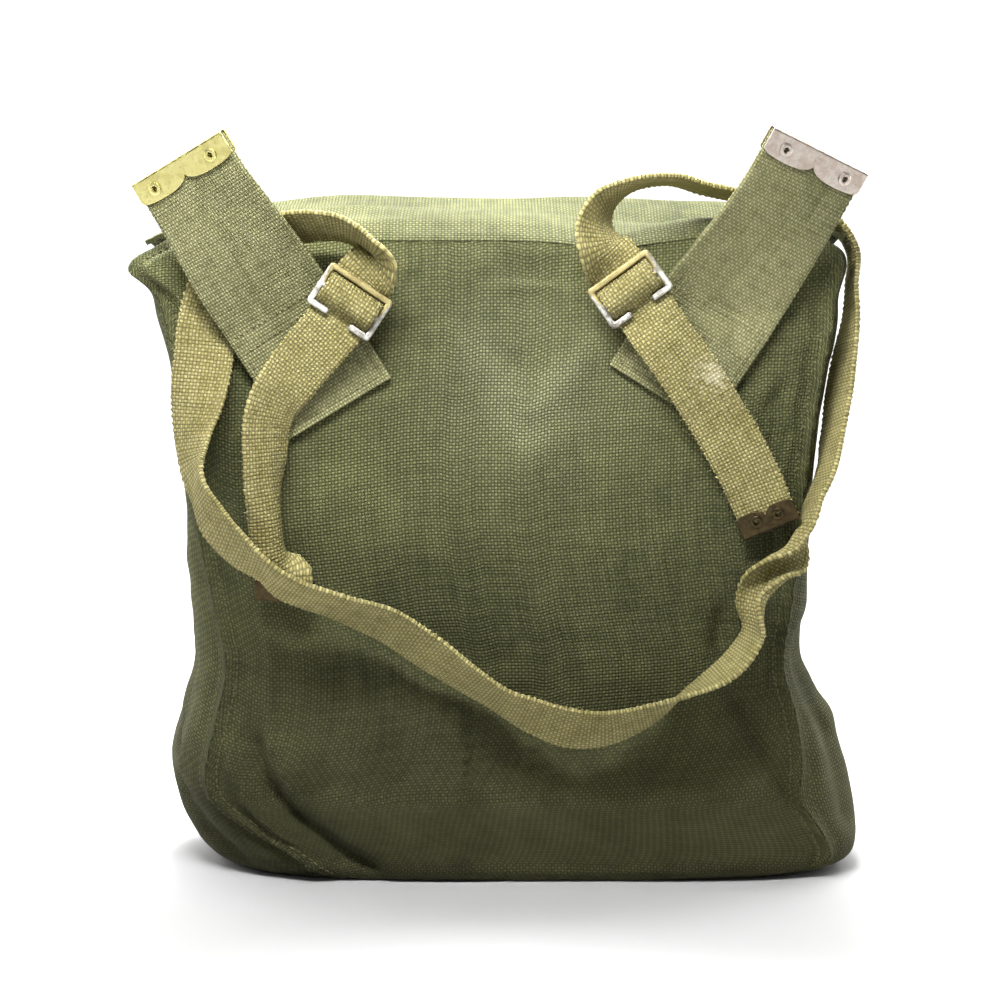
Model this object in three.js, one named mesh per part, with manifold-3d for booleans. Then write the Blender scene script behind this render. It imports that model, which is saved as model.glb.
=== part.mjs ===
// Military-pattern canvas haversack, standing stuffed and upright, in millimetres.
// The back panel (the wearer's side) faces -Y, +X is to the right of it and +Z is up.
// The origin is the middle of the flat bottom.

import * as THREE from 'three';
import { mergeVertices } from 'three/addons/utils/BufferGeometryUtils.js';
import Module from 'manifold-3d';

const wasm = await Module();
wasm.setup();

// Driving sizes of the bag
const bodyWidth = 280;
const bodyHeight = 284;
const bodyDepth = 104;
const canvas = 2.0;
const seamRidge = 1.6;
const seamGap = 0.7;
const lidGap = 2.1;
const softGap = 0.7;

// Driving sizes of the webbing and its metal
const tabWidth = 50.8;
const tabThick = 2.4;
const strapWidth = 25.4;
const strapThick = 2.1;
const chapeThick = 1.6;
const sheetBrass = 0.8;
const fitGap = 0.3;
const tabEndDepth = 10.5;
const strapTipDepth = 9.5;
const eyeletBore = 2.4;
const eyeletWall = 0.5;
const eyeletFlange = 1.1;
const tabEyeletSpacing = 32;
const strapEyeletSpacing = 10;
const buckleWire = 2.6;
const buckleThick = 2.4;
const buckleWindow = 6.2;
const prongLength = 10;
const closingStrapSpacing = 150;

const halfWidth = bodyWidth / 2;
const halfDepth = bodyDepth / 2;
const layer = strapThick + softGap;

// Colours read from the photograph
const canvasGreen = new THREE.MeshStandardMaterial({ color: 0x6b6c49, roughness: 0.95 });
const webbingGreen = new THREE.MeshStandardMaterial({ color: 0x8d8f6a, roughness: 0.95 });
const khaki = new THREE.MeshStandardMaterial({ color: 0xb0a978, roughness: 0.95 });
const brass = new THREE.MeshStandardMaterial({ color: 0xcfc878, roughness: 0.35, metalness: 1 });
const paleBrass = new THREE.MeshStandardMaterial({ color: 0xd9d0c4, roughness: 0.45, metalness: 0.8 });
const darkBrass = new THREE.MeshStandardMaterial({ color: 0x4a3a22, roughness: 0.5, metalness: 0.9 });
const wornMetal = new THREE.MeshStandardMaterial({ color: 0xc9c6c0, roughness: 0.6, metalness: 0.6 });

// Horizontal sections of the body. up is a share of the height, left and right of half the width,
// back and front of half the depth; sharp is the exponent of the rounded rectangle.
const sections = [
  { up: 0.000, left: 0.86, right: 1.02, back: 0.92, front: 0.92, sharpLeft: 3.2, sharpRight: 4.5 },
  { up: 0.014, left: 0.92, right: 1.11, back: 0.99, front: 0.98, sharpLeft: 3.2, sharpRight: 4.6 },
  { up: 0.042, left: 0.98, right: 1.145, back: 1.03, front: 1.02, sharpLeft: 3.2, sharpRight: 4.6 },
  { up: 0.100, left: 1.035, right: 1.135, back: 1.06, front: 1.05, sharpLeft: 3.4, sharpRight: 4.2 },
  { up: 0.170, left: 1.065, right: 1.105, back: 1.07, front: 1.06, sharpLeft: 3.6, sharpRight: 3.8 },
  { up: 0.250, left: 1.03, right: 1.05, back: 1.08, front: 1.06, sharpLeft: 3.8, sharpRight: 3.6 },
  { up: 0.340, left: 0.985, right: 0.97, back: 1.08, front: 1.05, sharpLeft: 3.8, sharpRight: 3.8 },
  { up: 0.440, left: 0.98, right: 0.975, back: 1.07, front: 1.04, sharpLeft: 4.0, sharpRight: 4.2 },
  { up: 0.560, left: 1.00, right: 0.99, back: 1.05, front: 1.02, sharpLeft: 4.4, sharpRight: 4.8 },
  { up: 0.680, left: 1.01, right: 1.01, back: 1.01, front: 1.00, sharpLeft: 5.0, sharpRight: 5.4 },
  { up: 0.790, left: 1.03, right: 1.035, back: 0.96, front: 0.99, sharpLeft: 6.0, sharpRight: 6.2 },
  { up: 0.880, left: 1.07, right: 1.065, back: 0.89, front: 0.98, sharpLeft: 7.0, sharpRight: 7.0 },
  { up: 0.945, left: 1.08, right: 1.06, back: 0.82, front: 0.96, sharpLeft: 7.0, sharpRight: 7.0 },
  { up: 0.980, left: 1.06, right: 1.04, back: 0.76, front: 0.90, sharpLeft: 6.0, sharpRight: 6.0 },
  { up: 1.000, left: 1.02, right: 1.00, back: 0.70, front: 0.80, sharpLeft: 5.0, sharpRight: 5.0 },
];

// Where the panels are sewn to the gussets, as a share of the half width at that height.
const seams = [
  { up: 0.000, backLeft: 0.60, backRight: 0.90, frontLeft: 0.75, frontRight: 0.85 },
  { up: 0.040, backLeft: 0.63, backRight: 0.90, frontLeft: 0.76, frontRight: 0.85 },
  { up: 0.085, backLeft: 0.76, backRight: 0.87, frontLeft: 0.80, frontRight: 0.86 },
  { up: 0.130, backLeft: 0.85, backRight: 0.84, frontLeft: 0.84, frontRight: 0.86 },
  { up: 0.200, backLeft: 0.855, backRight: 0.86, frontLeft: 0.86, frontRight: 0.87 },
  { up: 0.340, backLeft: 0.855, backRight: 0.90, frontLeft: 0.88, frontRight: 0.89 },
  { up: 0.450, backLeft: 0.90, backRight: 0.92, frontLeft: 0.90, frontRight: 0.90 },
  { up: 0.600, backLeft: 0.93, backRight: 0.93, frontLeft: 0.91, frontRight: 0.91 },
  { up: 0.930, backLeft: 0.95, backRight: 0.95, frontLeft: 0.92, frontRight: 0.92 },
  { up: 1.000, backLeft: 0.92, backRight: 0.92, frontLeft: 0.90, frontRight: 0.90 },
];

// Creases and ridges of the walls, each a straight run on one side of the bag. across is a share of
// that side's half size (right is plus on the back, front is plus on the right), up of the height,
// wide of the half width and lift of half the depth.
const folds = [
  { side: 'back', across: -0.83, up: 0.43, toAcross: -0.78, toUp: 0.36, wide: 0.04, lift: 0.03 },
  { side: 'back', across: -0.86, up: 0.225, toAcross: -0.74, toUp: 0.14, wide: 0.05, lift: -0.06 },
  { side: 'back', across: -0.74, up: 0.14, toAcross: -0.44, toUp: 0.01, wide: 0.05, lift: -0.06 },
  { side: 'back', across: -0.95, up: 0.20, toAcross: -0.62, toUp: 0.03, wide: 0.05, lift: 0.04 },
  { side: 'back', across: 0.90, up: 0.76, toAcross: 0.89, toUp: 0.52, wide: 0.05, lift: -0.06 },
  { side: 'back', across: 0.76, up: 0.40, toAcross: 0.95, toUp: 0.12, wide: 0.08, lift: -0.05 },
  { side: 'back', across: 0.02, up: 0.965, toAcross: 0.27, toUp: 0.955, wide: 0.03, lift: -0.03 },
  { side: 'back', across: -0.30, up: 0.62, toAcross: -0.16, toUp: 0.40, wide: 0.16, lift: -0.03 },
  { side: 'back', across: 0.06, up: 0.60, toAcross: 0.14, toUp: 0.34, wide: 0.22, lift: 0.05 },
  { side: 'back', across: 0.10, up: 0.00, toAcross: 0.24, toUp: 0.03, wide: 0.16, lift: -0.03 },
  { side: 'left', across: 0.35, up: 0.33, toAcross: 0.25, toUp: 0.20, wide: 0.06, lift: -0.10 },
  { side: 'left', across: 0.25, up: 0.20, toAcross: 0.80, toUp: 0.04, wide: 0.05, lift: -0.08 },
  { side: 'left', across: 0.10, up: 0.95, toAcross: 0.00, toUp: 0.60, wide: 0.14, lift: -0.14 },
  { side: 'right', across: -0.30, up: 0.90, toAcross: -0.10, toUp: 0.55, wide: 0.12, lift: -0.14 },
  { side: 'right', across: -0.45, up: 0.36, toAcross: -0.60, toUp: 0.10, wide: 0.07, lift: -0.10 },
  { side: 'front', across: -0.10, up: 0.32, toAcross: 0.10, toUp: 0.10, wide: 0.14, lift: -0.05 },
];

// The drawn-out upper corners of the back panel, in the same shares.
const ears = [
  { side: 'back', across: -1.00, up: 0.945, tall: 0.045, wide: 0.12, lift: 0.16 },
  { side: 'back', across: 1.00, up: 0.965, tall: 0.04, wide: 0.10, lift: 0.06 },
];

// The top from the back seam to the front edge: out is a share of half the depth, up of the height.
const topPath = [
  { out: -0.70, up: 0.985 },
  { out: -0.58, up: 1.006 },
  { out: -0.42, up: 1.013 },
  { out: -0.20, up: 1.008 },
  { out: 0.04, up: 1.002 },
  { out: 0.30, up: 1.012 },
  { out: 0.56, up: 1.024 },
  { out: 0.80, up: 1.015 },
];

// Ridges and hollows of the top: across and wide are shares of half the width, out and long of
// half the depth and lift of the height.
const topFolds = [
  { across: 0.36, out: -0.50, wide: 0.16, long: 0.28, lift: -0.022 },
  { across: 0.60, out: -0.05, wide: 0.28, long: 0.26, lift: -0.020 },
  { across: 0.62, out: -0.52, wide: 0.20, long: 0.22, lift: 0.010 },
  { across: -0.45, out: 0.05, wide: 0.40, long: 0.40, lift: 0.008 },
];
const topDrop = 0.032;

// The flap over the front: up and hem width of each row down the front.
const lidLeft = 1.075;
const lidRight = 1.045;
const curtain = [
  { up: 0.975, wide: 0.940 },
  { up: 0.930, wide: 0.910 },
  { up: 0.840, wide: 0.890 },
  { up: 0.720, wide: 0.870 },
  { up: 0.600, wide: 0.860 },
  { up: 0.500, wide: 0.850 },
  { up: 0.430, wide: 0.845 },
];

// Smooth interpolation down a table, by cubic Hermite pieces between its rows.
function fromTable(rows, key, at, column) {
  const last = rows.length - 1;
  if (at <= rows[0][key]) return rows[0][column];
  if (at >= rows[last][key]) return rows[last][column];
  let i = 0;
  while (at > rows[i + 1][key]) i += 1;
  const slope = (j) => {
    const a = rows[Math.max(j - 1, 0)];
    const b = rows[Math.min(j + 1, last)];
    return (b[column] - a[column]) / (b[key] - a[key]);
  };
  const span = rows[i + 1][key] - rows[i][key];
  const t = (at - rows[i][key]) / span;
  const t2 = t * t;
  const t3 = t2 * t;
  return (2 * t3 - 3 * t2 + 1) * rows[i][column]
    + (t3 - 2 * t2 + t) * span * slope(i)
    + (3 * t2 - 2 * t3) * rows[i + 1][column]
    + (t3 - t2) * span * slope(i + 1);
}

function smooth(from, to, at) {
  const t = Math.min(Math.max((at - from) / (to - from), 0), 1);
  return t * t * (3 - 2 * t);
}

// Sides are numbered round the bag: right 0 to 1, front 1 to 2, left 2 to 3 and back 3 to 4.
const sideMiddle = { right: 0.5, front: 1.5, left: 2.5, back: 3.5 };
const sideHalf = { right: halfDepth, front: halfWidth, left: halfDepth, back: halfWidth };

function aroundToAngle(around) {
  const side = Math.floor(around);
  const across = 2 * (around - side) - 1;
  return (side * Math.PI) / 2 + Math.atan(across);
}

function angleToAround(angle) {
  const side = Math.round(angle / (Math.PI / 2));
  return side + (Math.tan(angle - (side * Math.PI) / 2) + 1) / 2;
}

function section(up) {
  const row = {};
  for (const column of ['left', 'right', 'back', 'front', 'sharpLeft', 'sharpRight']) {
    row[column] = fromTable(sections, 'up', up, column);
  }
  return row;
}

function plan(angle, up) {
  const row = section(up);
  const c = Math.cos(angle);
  const s = Math.sin(angle);
  const sharp = c < 0 ? row.sharpLeft : row.sharpRight;
  const k = Math.pow(Math.pow(Math.abs(c), sharp) + Math.pow(Math.abs(s), sharp), -1 / sharp);
  return {
    x: k * c * halfWidth * (c < 0 ? row.left : row.right),
    y: k * s * halfDepth * (s < 0 ? row.back : row.front),
  };
}

// Height of the closed top above a place in plan, without the thickness of the lid.
function topHeight(x, y) {
  const out = y / halfDepth;
  const across = x / halfWidth;
  let up = fromTable(topPath, 'out', out, 'up');
  for (const fold of topFolds) {
    const a = (across - fold.across) / fold.wide;
    const b = (out - fold.out) / fold.long;
    up += fold.lift * Math.exp(-a * a - b * b);
  }
  up -= topDrop * Math.pow(Math.abs(across), 6);
  return up * bodyHeight;
}

// Height of a crease or ridge of the wall above its plain section.
function foldLift(around, up) {
  let lift = 0;
  const distance = (fold, a, u) => {
    const middle = sideMiddle[fold.side];
    let turn = around - middle - a / 2;
    turn -= 4 * Math.round(turn / 4);
    return [turn * 2 * sideHalf[fold.side], (up - u) * bodyHeight];
  };
  for (const fold of folds) {
    const from = distance(fold, fold.across, fold.up);
    const to = distance(fold, fold.toAcross, fold.toUp);
    const run = [from[0] - to[0], from[1] - to[1]];
    const along = (from[0] * run[0] + from[1] * run[1]) / (run[0] * run[0] + run[1] * run[1]);
    const t = Math.min(Math.max(along, 0), 1);
    const off = Math.hypot(from[0] - t * run[0], from[1] - t * run[1]) / (fold.wide * halfWidth);
    lift += fold.lift * halfDepth * Math.exp(-off * off);
  }
  for (const ear of ears) {
    const off = distance(ear, ear.across, ear.up);
    const a = off[0] / (ear.wide * halfWidth);
    const b = off[1] / (ear.tall * bodyHeight);
    lift += ear.lift * halfDepth * Math.exp(-Math.abs(a) - b * b);
  }
  return lift;
}

function wallPlain(around, up) {
  const angle = aroundToAngle(around);
  const p = plan(angle, up);
  const rim = plan(angle, 1);
  return new THREE.Vector3(p.x, p.y, up * topHeight(rim.x, rim.y));
}

function wallNormal(around, up) {
  const step = 0.004;
  const high = Math.min(up + step, 1);
  const low = Math.max(high - 2 * step, 0);
  const side = wallPlain(around + step, up).sub(wallPlain(around - step, up));
  const rise = wallPlain(around, high).sub(wallPlain(around, low));
  return side.cross(rise).normalize();
}

// Outer surface of the wall, with its folds, moved out along its normal by off.
function wall(around, up, off = 0) {
  const flat = smooth(0, 0.03, up);
  return wallPlain(around, up).addScaledVector(wallNormal(around, up), off + foldLift(around, up) * flat);
}

function seamAround(up, column) {
  const share = fromTable(seams, 'up', up, column);
  const row = section(up);
  const sharp = column.endsWith('Left') ? row.sharpLeft : row.sharpRight;
  const other = Math.pow(1 - Math.pow(share, sharp), 1 / sharp);
  const turn = Math.atan2(share, other);
  if (column === 'backLeft') return angleToAround(1.5 * Math.PI - turn);
  if (column === 'backRight') return angleToAround(1.5 * Math.PI + turn);
  if (column === 'frontLeft') return angleToAround(0.5 * Math.PI + turn);
  return angleToAround(0.5 * Math.PI - turn);
}

// Closed slab between two grids of the same size, rows by columns.
function slab(outer, inner) {
  const rows = outer.length;
  const columns = outer[0].length;
  const positions = [];
  const index = [];
  for (const grid of [outer, inner]) {
    for (const row of grid) {
      for (const p of row) positions.push(p.x, p.y, p.z);
    }
  }
  const at = (layer, r, c) => layer * rows * columns + r * columns + c;
  const quad = (a, b, c, d) => index.push(a, b, c, a, c, d);
  for (let r = 0; r < rows - 1; r += 1) {
    for (let c = 0; c < columns - 1; c += 1) {
      quad(at(0, r, c), at(0, r, c + 1), at(0, r + 1, c + 1), at(0, r + 1, c));
      quad(at(1, r, c), at(1, r + 1, c), at(1, r + 1, c + 1), at(1, r, c + 1));
    }
  }
  for (let r = 0; r < rows - 1; r += 1) {
    quad(at(0, r + 1, 0), at(1, r + 1, 0), at(1, r, 0), at(0, r, 0));
    quad(at(0, r, columns - 1), at(1, r, columns - 1), at(1, r + 1, columns - 1), at(0, r + 1, columns - 1));
  }
  for (let c = 0; c < columns - 1; c += 1) {
    quad(at(0, 0, c), at(1, 0, c), at(1, 0, c + 1), at(0, 0, c + 1));
    quad(at(0, rows - 1, c + 1), at(1, rows - 1, c + 1), at(1, rows - 1, c), at(0, rows - 1, c));
  }
  const geometry = new THREE.BufferGeometry();
  geometry.setAttribute('position', new THREE.Float32BufferAttribute(positions, 3));
  geometry.setIndex(index);
  return geometry;
}

// One panel of the wall between two seams, with its edges turned up into the seam ridge.
function panel(fromSeam, toSeam, columns, rowHeights) {
  const outer = [];
  const inner = [];
  for (const up of rowHeights) {
    const outerRow = [];
    const innerRow = [];
    const from = seamAround(up, fromSeam);
    let to = seamAround(up, toSeam);
    if (to < from) to += 4;
    for (let c = 0; c <= columns; c += 1) {
      const edge = c === 0 || c === columns;
      const here = from + ((to - from) * c) / columns;
      const inward = wall(from + ((to - from) * (c === 0 ? 1 : columns - 1)) / columns, up);
      const ridge = edge ? seamRidge * smooth(0, 0.03, up) : 0;
      const place = wall(here, up, ridge);
      if (edge) {
        const shift = seamGap * (1 - smooth(0, 0.03, up) / 2);
        place.addScaledVector(inward.sub(place).normalize(), shift);
      }
      outerRow.push(place);
      const normal = wallNormal(here, up);
      if (up === 0) normal.setZ(0).normalize();
      innerRow.push(place.clone().addScaledVector(normal, -canvas));
    }
    outer.push(outerRow);
    inner.push(innerRow);
  }
  return slab(outer, inner);
}

const wallRows = [0, 0.014, 0.035, 0.065, 0.1, 0.14, 0.18, 0.23, 0.29, 0.36, 0.43, 0.5, 0.58, 0.66,
  0.74, 0.81, 0.87, 0.91, 0.945, 0.975, 1];

// Flat bottom panel, let in between the walls.
function basePanel() {
  const spokes = 28;
  const ring = [];
  for (let i = 0; i < spokes; i += 1) {
    const around = (4 * i) / spokes;
    const normal = wallNormal(around, 0).setZ(0).normalize();
    const edge = wall(around, 0).addScaledVector(normal, -(canvas + fitGap + seamGap));
    ring.push(new THREE.Vector2(edge.x, edge.y));
  }
  return new THREE.ExtrudeGeometry(new THREE.Shape(ring), { depth: canvas, bevelEnabled: false });
}

// Depth of the rim at a place across the bag, on the back (-1) or the front (1).
function rimDepth(x, sign) {
  const row = section(1);
  const widest = halfWidth * (x < 0 ? row.left : row.right);
  const sharp = x < 0 ? row.sharpLeft : row.sharpRight;
  const across = Math.min(Math.abs(x) / widest, 0.97);
  const share = Math.pow(1 - Math.pow(across, sharp), 1 / sharp);
  return sign * share * halfDepth * (sign < 0 ? row.back : row.front);
}

// Where a place across the bag lies round it, on the front or the back wall.
function aroundAt(x, up, sign) {
  const row = section(up);
  const widest = halfWidth * (x < 0 ? row.left : row.right);
  const sharp = x < 0 ? row.sharpLeft : row.sharpRight;
  const across = Math.min(Math.abs(x) / widest, 0.97);
  const out = Math.pow(1 - Math.pow(across, sharp), 1 / sharp);
  return angleToAround(Math.atan2(sign * out, Math.sign(x) * across) + (sign < 0 ? 2 * Math.PI : 0));
}

const lidLift = canvas + seamRidge + lidGap;

// Lid flap: over the top from the back seam, then down the front.
function lidFlap() {
  const columns = 16;
  const topSteps = 11;
  const rows = [];
  for (let i = 0; i <= topSteps; i += 1) rows.push({ share: i / topSteps, wide: 1 });
  for (const row of curtain) rows.push(row);
  const spread = (c) => {
    const even = (2 * c) / columns - 1;
    return (even + Math.sin((even * Math.PI) / 2)) / 2;
  };
  const across = (c, row) => {
    const u = spread(c);
    return u * row.wide * halfWidth * (u < 0 ? lidLeft : lidRight);
  };
  const core = rows.map((row) => {
    const line = [];
    for (let c = 0; c <= columns; c += 1) {
      const x = across(c, row);
      if (row.up === undefined) {
        const y = rimDepth(x, -1) * (1 - row.share) + rimDepth(x, 1) * row.share;
        line.push(new THREE.Vector3(x, y, topHeight(x, y)));
      } else {
        line.push(wall(aroundAt(x, row.up, 1), row.up));
      }
    }
    return line;
  });
  const outer = [];
  const inner = [];
  const last = core.length - 1;
  for (let r = 0; r <= last; r += 1) {
    const outerRow = [];
    const innerRow = [];
    for (let c = 0; c <= columns; c += 1) {
      const side = core[r][Math.min(c + 1, columns)].clone().sub(core[r][Math.max(c - 1, 0)]);
      const rise = core[Math.min(r + 1, last)][c].clone().sub(core[Math.max(r - 1, 0)][c]);
      const normal = side.cross(rise).normalize();
      if (r === 0) normal.copy(wallNormal(aroundAt(across(c, rows[0]), 1, -1), 1));
      const u = Math.abs(spread(c));
      const lift = lidLift * Math.max(smooth(0.75, 0.9, u), smooth(1, 5, r));
      const place = core[r][c].clone().addScaledVector(normal, lift);
      if (r === 0) place.addScaledVector(rise.normalize(), seamGap);
      outerRow.push(place);
      innerRow.push(place.clone().addScaledVector(normal, -canvas));
    }
    outer.push(outerRow);
    inner.push(innerRow);
  }
  return slab(outer, inner);
}

// Distance of a point outside the closed bag, lid included, good to a fraction of a millimetre
// close to the surface.
function bagDistance(p) {
  const reach = (x, y, z) => {
    const across = x / halfWidth;
    const out = y / halfDepth;
    let up = Math.min(Math.max(z / (0.985 * bodyHeight), 0), 1);
    let row = section(up);
    let angle = Math.atan2(out / (out < 0 ? row.back : row.front), across / (across < 0 ? row.left : row.right));
    const rim = plan(angle, 1);
    up = Math.min(Math.max(z / topHeight(rim.x, rim.y), 0), 1);
    row = section(up);
    const a = Math.abs(across) / (across < 0 ? row.left : row.right);
    const b = Math.abs(out) / (out < 0 ? row.back : row.front);
    angle = Math.atan2(Math.sign(out) * b, Math.sign(across) * a);
    const sharp = across < 0 ? row.sharpLeft : row.sharpRight;
    return { value: Math.pow(Math.pow(a, sharp) + Math.pow(b, sharp), 1 / sharp) - 1, angle, up };
  };
  const here = reach(p.x, p.y, p.z);
  const h = 0.5;
  const slope = new THREE.Vector3(
    reach(p.x + h, p.y, p.z).value - reach(p.x - h, p.y, p.z).value,
    reach(p.x, p.y + h, p.z).value - reach(p.x, p.y - h, p.z).value,
    reach(p.x, p.y, p.z + h).value - reach(p.x, p.y, p.z - h).value,
  ).divideScalar(2 * h);
  const hem = curtain[curtain.length - 1].up;
  const coverWall = smooth(hem - 0.06, hem - 0.02, here.up)
    * smooth(0, 0.3, p.y / halfDepth);
  const fromWall = here.value / slope.length() - foldLift(angleToAround(here.angle), here.up)
    - coverWall * lidLift;
  const x = Math.min(Math.max(p.x, -halfWidth * lidLeft), halfWidth * lidRight);
  const y = Math.min(Math.max(p.y, topPath[0].out * halfDepth), topPath[topPath.length - 1].out * halfDepth);
  const fromTop = (p.z - topHeight(x, y) - lidLift) * 0.9;
  return Math.max(fromWall, fromTop);
}

function pushOut(p, clear) {
  const h = 0.4;
  for (let i = 0; i < 6; i += 1) {
    const here = bagDistance(p);
    if (here >= clear) return p;
    const slope = new THREE.Vector3(
      bagDistance(p.clone().setX(p.x + h)) - bagDistance(p.clone().setX(p.x - h)),
      bagDistance(p.clone().setY(p.y + h)) - bagDistance(p.clone().setY(p.y - h)),
      bagDistance(p.clone().setZ(p.z + h)) - bagDistance(p.clone().setZ(p.z - h)),
    ).divideScalar(2 * h);
    p.addScaledVector(slope, (clear - here) / Math.max(slope.lengthSq(), 0.2));
  }
  return p;
}

// A band of webbing through rows of centre, width direction, clearance and cup (the angle by which
// its section curls about its length). straight keeps the run up to the next row flat.
function bandRows(rows, steps) {
  const centres = new THREE.CatmullRomCurve3(rows.map((row) => row.centre), false, 'centripetal');
  const widths = new THREE.CatmullRomCurve3(rows.map((row) => row.across), false, 'centripetal');
  const list = [];
  const last = rows.length - 1;
  for (let i = 0; i < last; i += 1) {
    const count = rows[i].straight ? 1 : (rows[i].steps || steps);
    for (let k = 0; k < count; k += 1) {
      const t = k / count;
      const at = (i + t) / last;
      const mix = (column) => (rows[i][column] || 0) * (1 - t) + (rows[i + 1][column] || 0) * t;
      list.push({
        centre: centres.getPoint(at),
        across: widths.getPoint(at).normalize(),
        cup: mix('cup'),
        over: mix('over'),
      });
    }
  }
  const end = rows[last];
  list.push({ centre: end.centre.clone(), across: end.across.clone().normalize(), cup: 0, over: end.over || 0 });
  return list;
}

function band(rows, { wide, thick, steps = 3, columns = 3 }) {
  const list = bandRows(rows, steps);
  const middle = list.map((row, i) => {
    const before = list[Math.max(i - 1, 0)].centre;
    const after = list[Math.min(i + 1, list.length - 1)].centre;
    const along = after.clone().sub(before).normalize();
    const face = row.across.clone().cross(along).normalize();
    const across = along.clone().cross(face).normalize();
    const line = [];
    for (let c = 0; c <= columns; c += 1) {
      const s = c / columns - 0.5;
      const p = row.centre.clone();
      if (row.cup > 0.01) {
        const radius = wide / row.cup;
        const turn = s * row.cup;
        p.addScaledVector(across, radius * Math.sin(turn));
        p.addScaledVector(face, -radius * (1 - Math.cos(turn)));
      } else {
        p.addScaledVector(across, s * wide);
      }
      line.push(row.over >= 0 ? pushOut(p, row.over + thick / 2 + softGap) : p);
    }
    return line;
  });
  const outer = [];
  const inner = [];
  const last = middle.length - 1;
  for (let r = 0; r <= last; r += 1) {
    const outerRow = [];
    const innerRow = [];
    for (let c = 0; c <= columns; c += 1) {
      const side = middle[r][Math.min(c + 1, columns)].clone().sub(middle[r][Math.max(c - 1, 0)]);
      const along = middle[Math.min(r + 1, last)][c].clone().sub(middle[Math.max(r - 1, 0)][c]);
      const face = side.cross(along).normalize();
      outerRow.push(middle[r][c].clone().addScaledVector(face, thick / 2));
      innerRow.push(middle[r][c].clone().addScaledVector(face, -thick / 2));
    }
    outer.push(outerRow);
    inner.push(innerRow);
  }
  return slab(outer, inner);
}

function place(row) {
  return {
    centre: new THREE.Vector3(row.x * halfWidth, row.y * halfDepth, row.z * bodyHeight),
    across: new THREE.Vector3(row.wx, row.wy, row.wz).normalize(),
    over: row.over < 0 ? row.over : row.over * layer,
    cup: THREE.MathUtils.degToRad(row.cup || 0),
    straight: row.straight,
    steps: row.steps,
  };
}

// Booleans on closed geometries
function toSolid(geometry) {
  const bare = geometry.clone();
  bare.deleteAttribute('normal');
  bare.deleteAttribute('uv');
  const merged = mergeVertices(bare, 1e-4);
  const numbers = { numProp: 3 };
  numbers.vertProperties = Float32Array.from(merged.attributes.position.array);
  numbers.triVerts = Uint32Array.from(merged.index.array);
  return new wasm.Manifold(new wasm.Mesh(numbers));
}

function toGeometry(solid) {
  const mesh = solid.getMesh();
  const geometry = new THREE.BufferGeometry();
  geometry.setAttribute('position', new THREE.Float32BufferAttribute(mesh.vertProperties, 3));
  geometry.setIndex(Array.from(mesh.triVerts));
  return geometry;
}

// Frame of a band's end: u across it, v along it towards the end and n off its outer face.
function endFrame(rows, atStart) {
  const end = atStart ? rows[0] : rows[rows.length - 1];
  const next = atStart ? rows[1] : rows[rows.length - 2];
  const v = end.centre.clone().sub(next.centre).normalize();
  const n = end.across.clone().cross(v).normalize().multiplyScalar(atStart ? -1 : 1);
  const u = v.clone().cross(n).normalize();
  const matrix = new THREE.Matrix4().makeBasis(u, v, n);
  matrix.setPosition(end.centre);
  return matrix;
}

// Folded metal tip: two plates joined over the band's end, with a two-lobed lower edge.
function foldedTip(wide, thick, depth, spacing) {
  const half = wide / 2 + fitGap;
  const top = fitGap + sheetBrass;
  const cusp = -depth * 0.62;
  const side = -depth * 0.72;
  const shape = new THREE.Shape();
  shape.moveTo(-half, side);
  shape.quadraticCurveTo(-half, -depth, -half / 2, -depth);
  shape.quadraticCurveTo(-half * 0.08, -depth, 0, cusp);
  shape.quadraticCurveTo(half * 0.08, -depth, half / 2, -depth);
  shape.quadraticCurveTo(half, -depth, half, side);
  shape.lineTo(half, top);
  shape.lineTo(-half, top);
  const whole = thick + 2 * (fitGap + sheetBrass);
  const block = new THREE.ExtrudeGeometry(shape, { depth: whole, bevelEnabled: false, curveSegments: 2 });
  block.translate(0, 0, -whole / 2);
  const slot = new THREE.BoxGeometry(wide + depth, 2 * depth, thick + 2 * fitGap);
  slot.translate(0, fitGap - depth, 0);
  let solid = toSolid(block).subtract(toSolid(slot));
  for (const bore of eyeletBores(spacing, depth, whole + depth)) solid = solid.subtract(toSolid(bore));
  return toGeometry(solid);
}

function eyeletPlaces(spacing, depth) {
  return [-1, 1].map((sign) => new THREE.Vector3((sign * spacing) / 2, -depth / 2, 0));
}

function eyeletBores(spacing, depth, length) {
  return eyeletPlaces(spacing, depth).map((spot) => {
    const bore = new THREE.CylinderGeometry(1, 1, length, 12);
    const radius = eyeletBore / 2 + eyeletWall + fitGap;
    bore.scale(radius, 1, radius).rotateX(Math.PI / 2).translate(spot.x, spot.y, spot.z);
    return bore;
  });
}

// Eyelet: a barrel through tip and band with a flange on either face.
function eyelet(thick) {
  const face = thick / 2 + sheetBrass + 2 * fitGap;
  const bore = eyeletBore / 2;
  const barrel = bore + eyeletWall;
  const flange = barrel + eyeletFlange;
  const profile = [
    [bore, -face - eyeletWall], [flange, -face - eyeletWall / 2], [flange, -face], [barrel, -face],
    [barrel, face], [flange, face], [flange, face + eyeletWall / 2], [bore, face + eyeletWall],
    [bore, -face - eyeletWall],
  ];
  const ring = new THREE.LatheGeometry(profile.map(([x, y]) => new THREE.Vector2(x, y)), 8);
  return ring.rotateX(Math.PI / 2);
}

// Open-front buckle: a closed bar, a centre bar and two prongs that leave the front open.
const buckleInner = strapWidth / 2 + fitGap;
const buckleOuter = buckleInner + buckleWire;
const buckleReach = buckleWire * 1.5 + buckleWindow;

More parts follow.
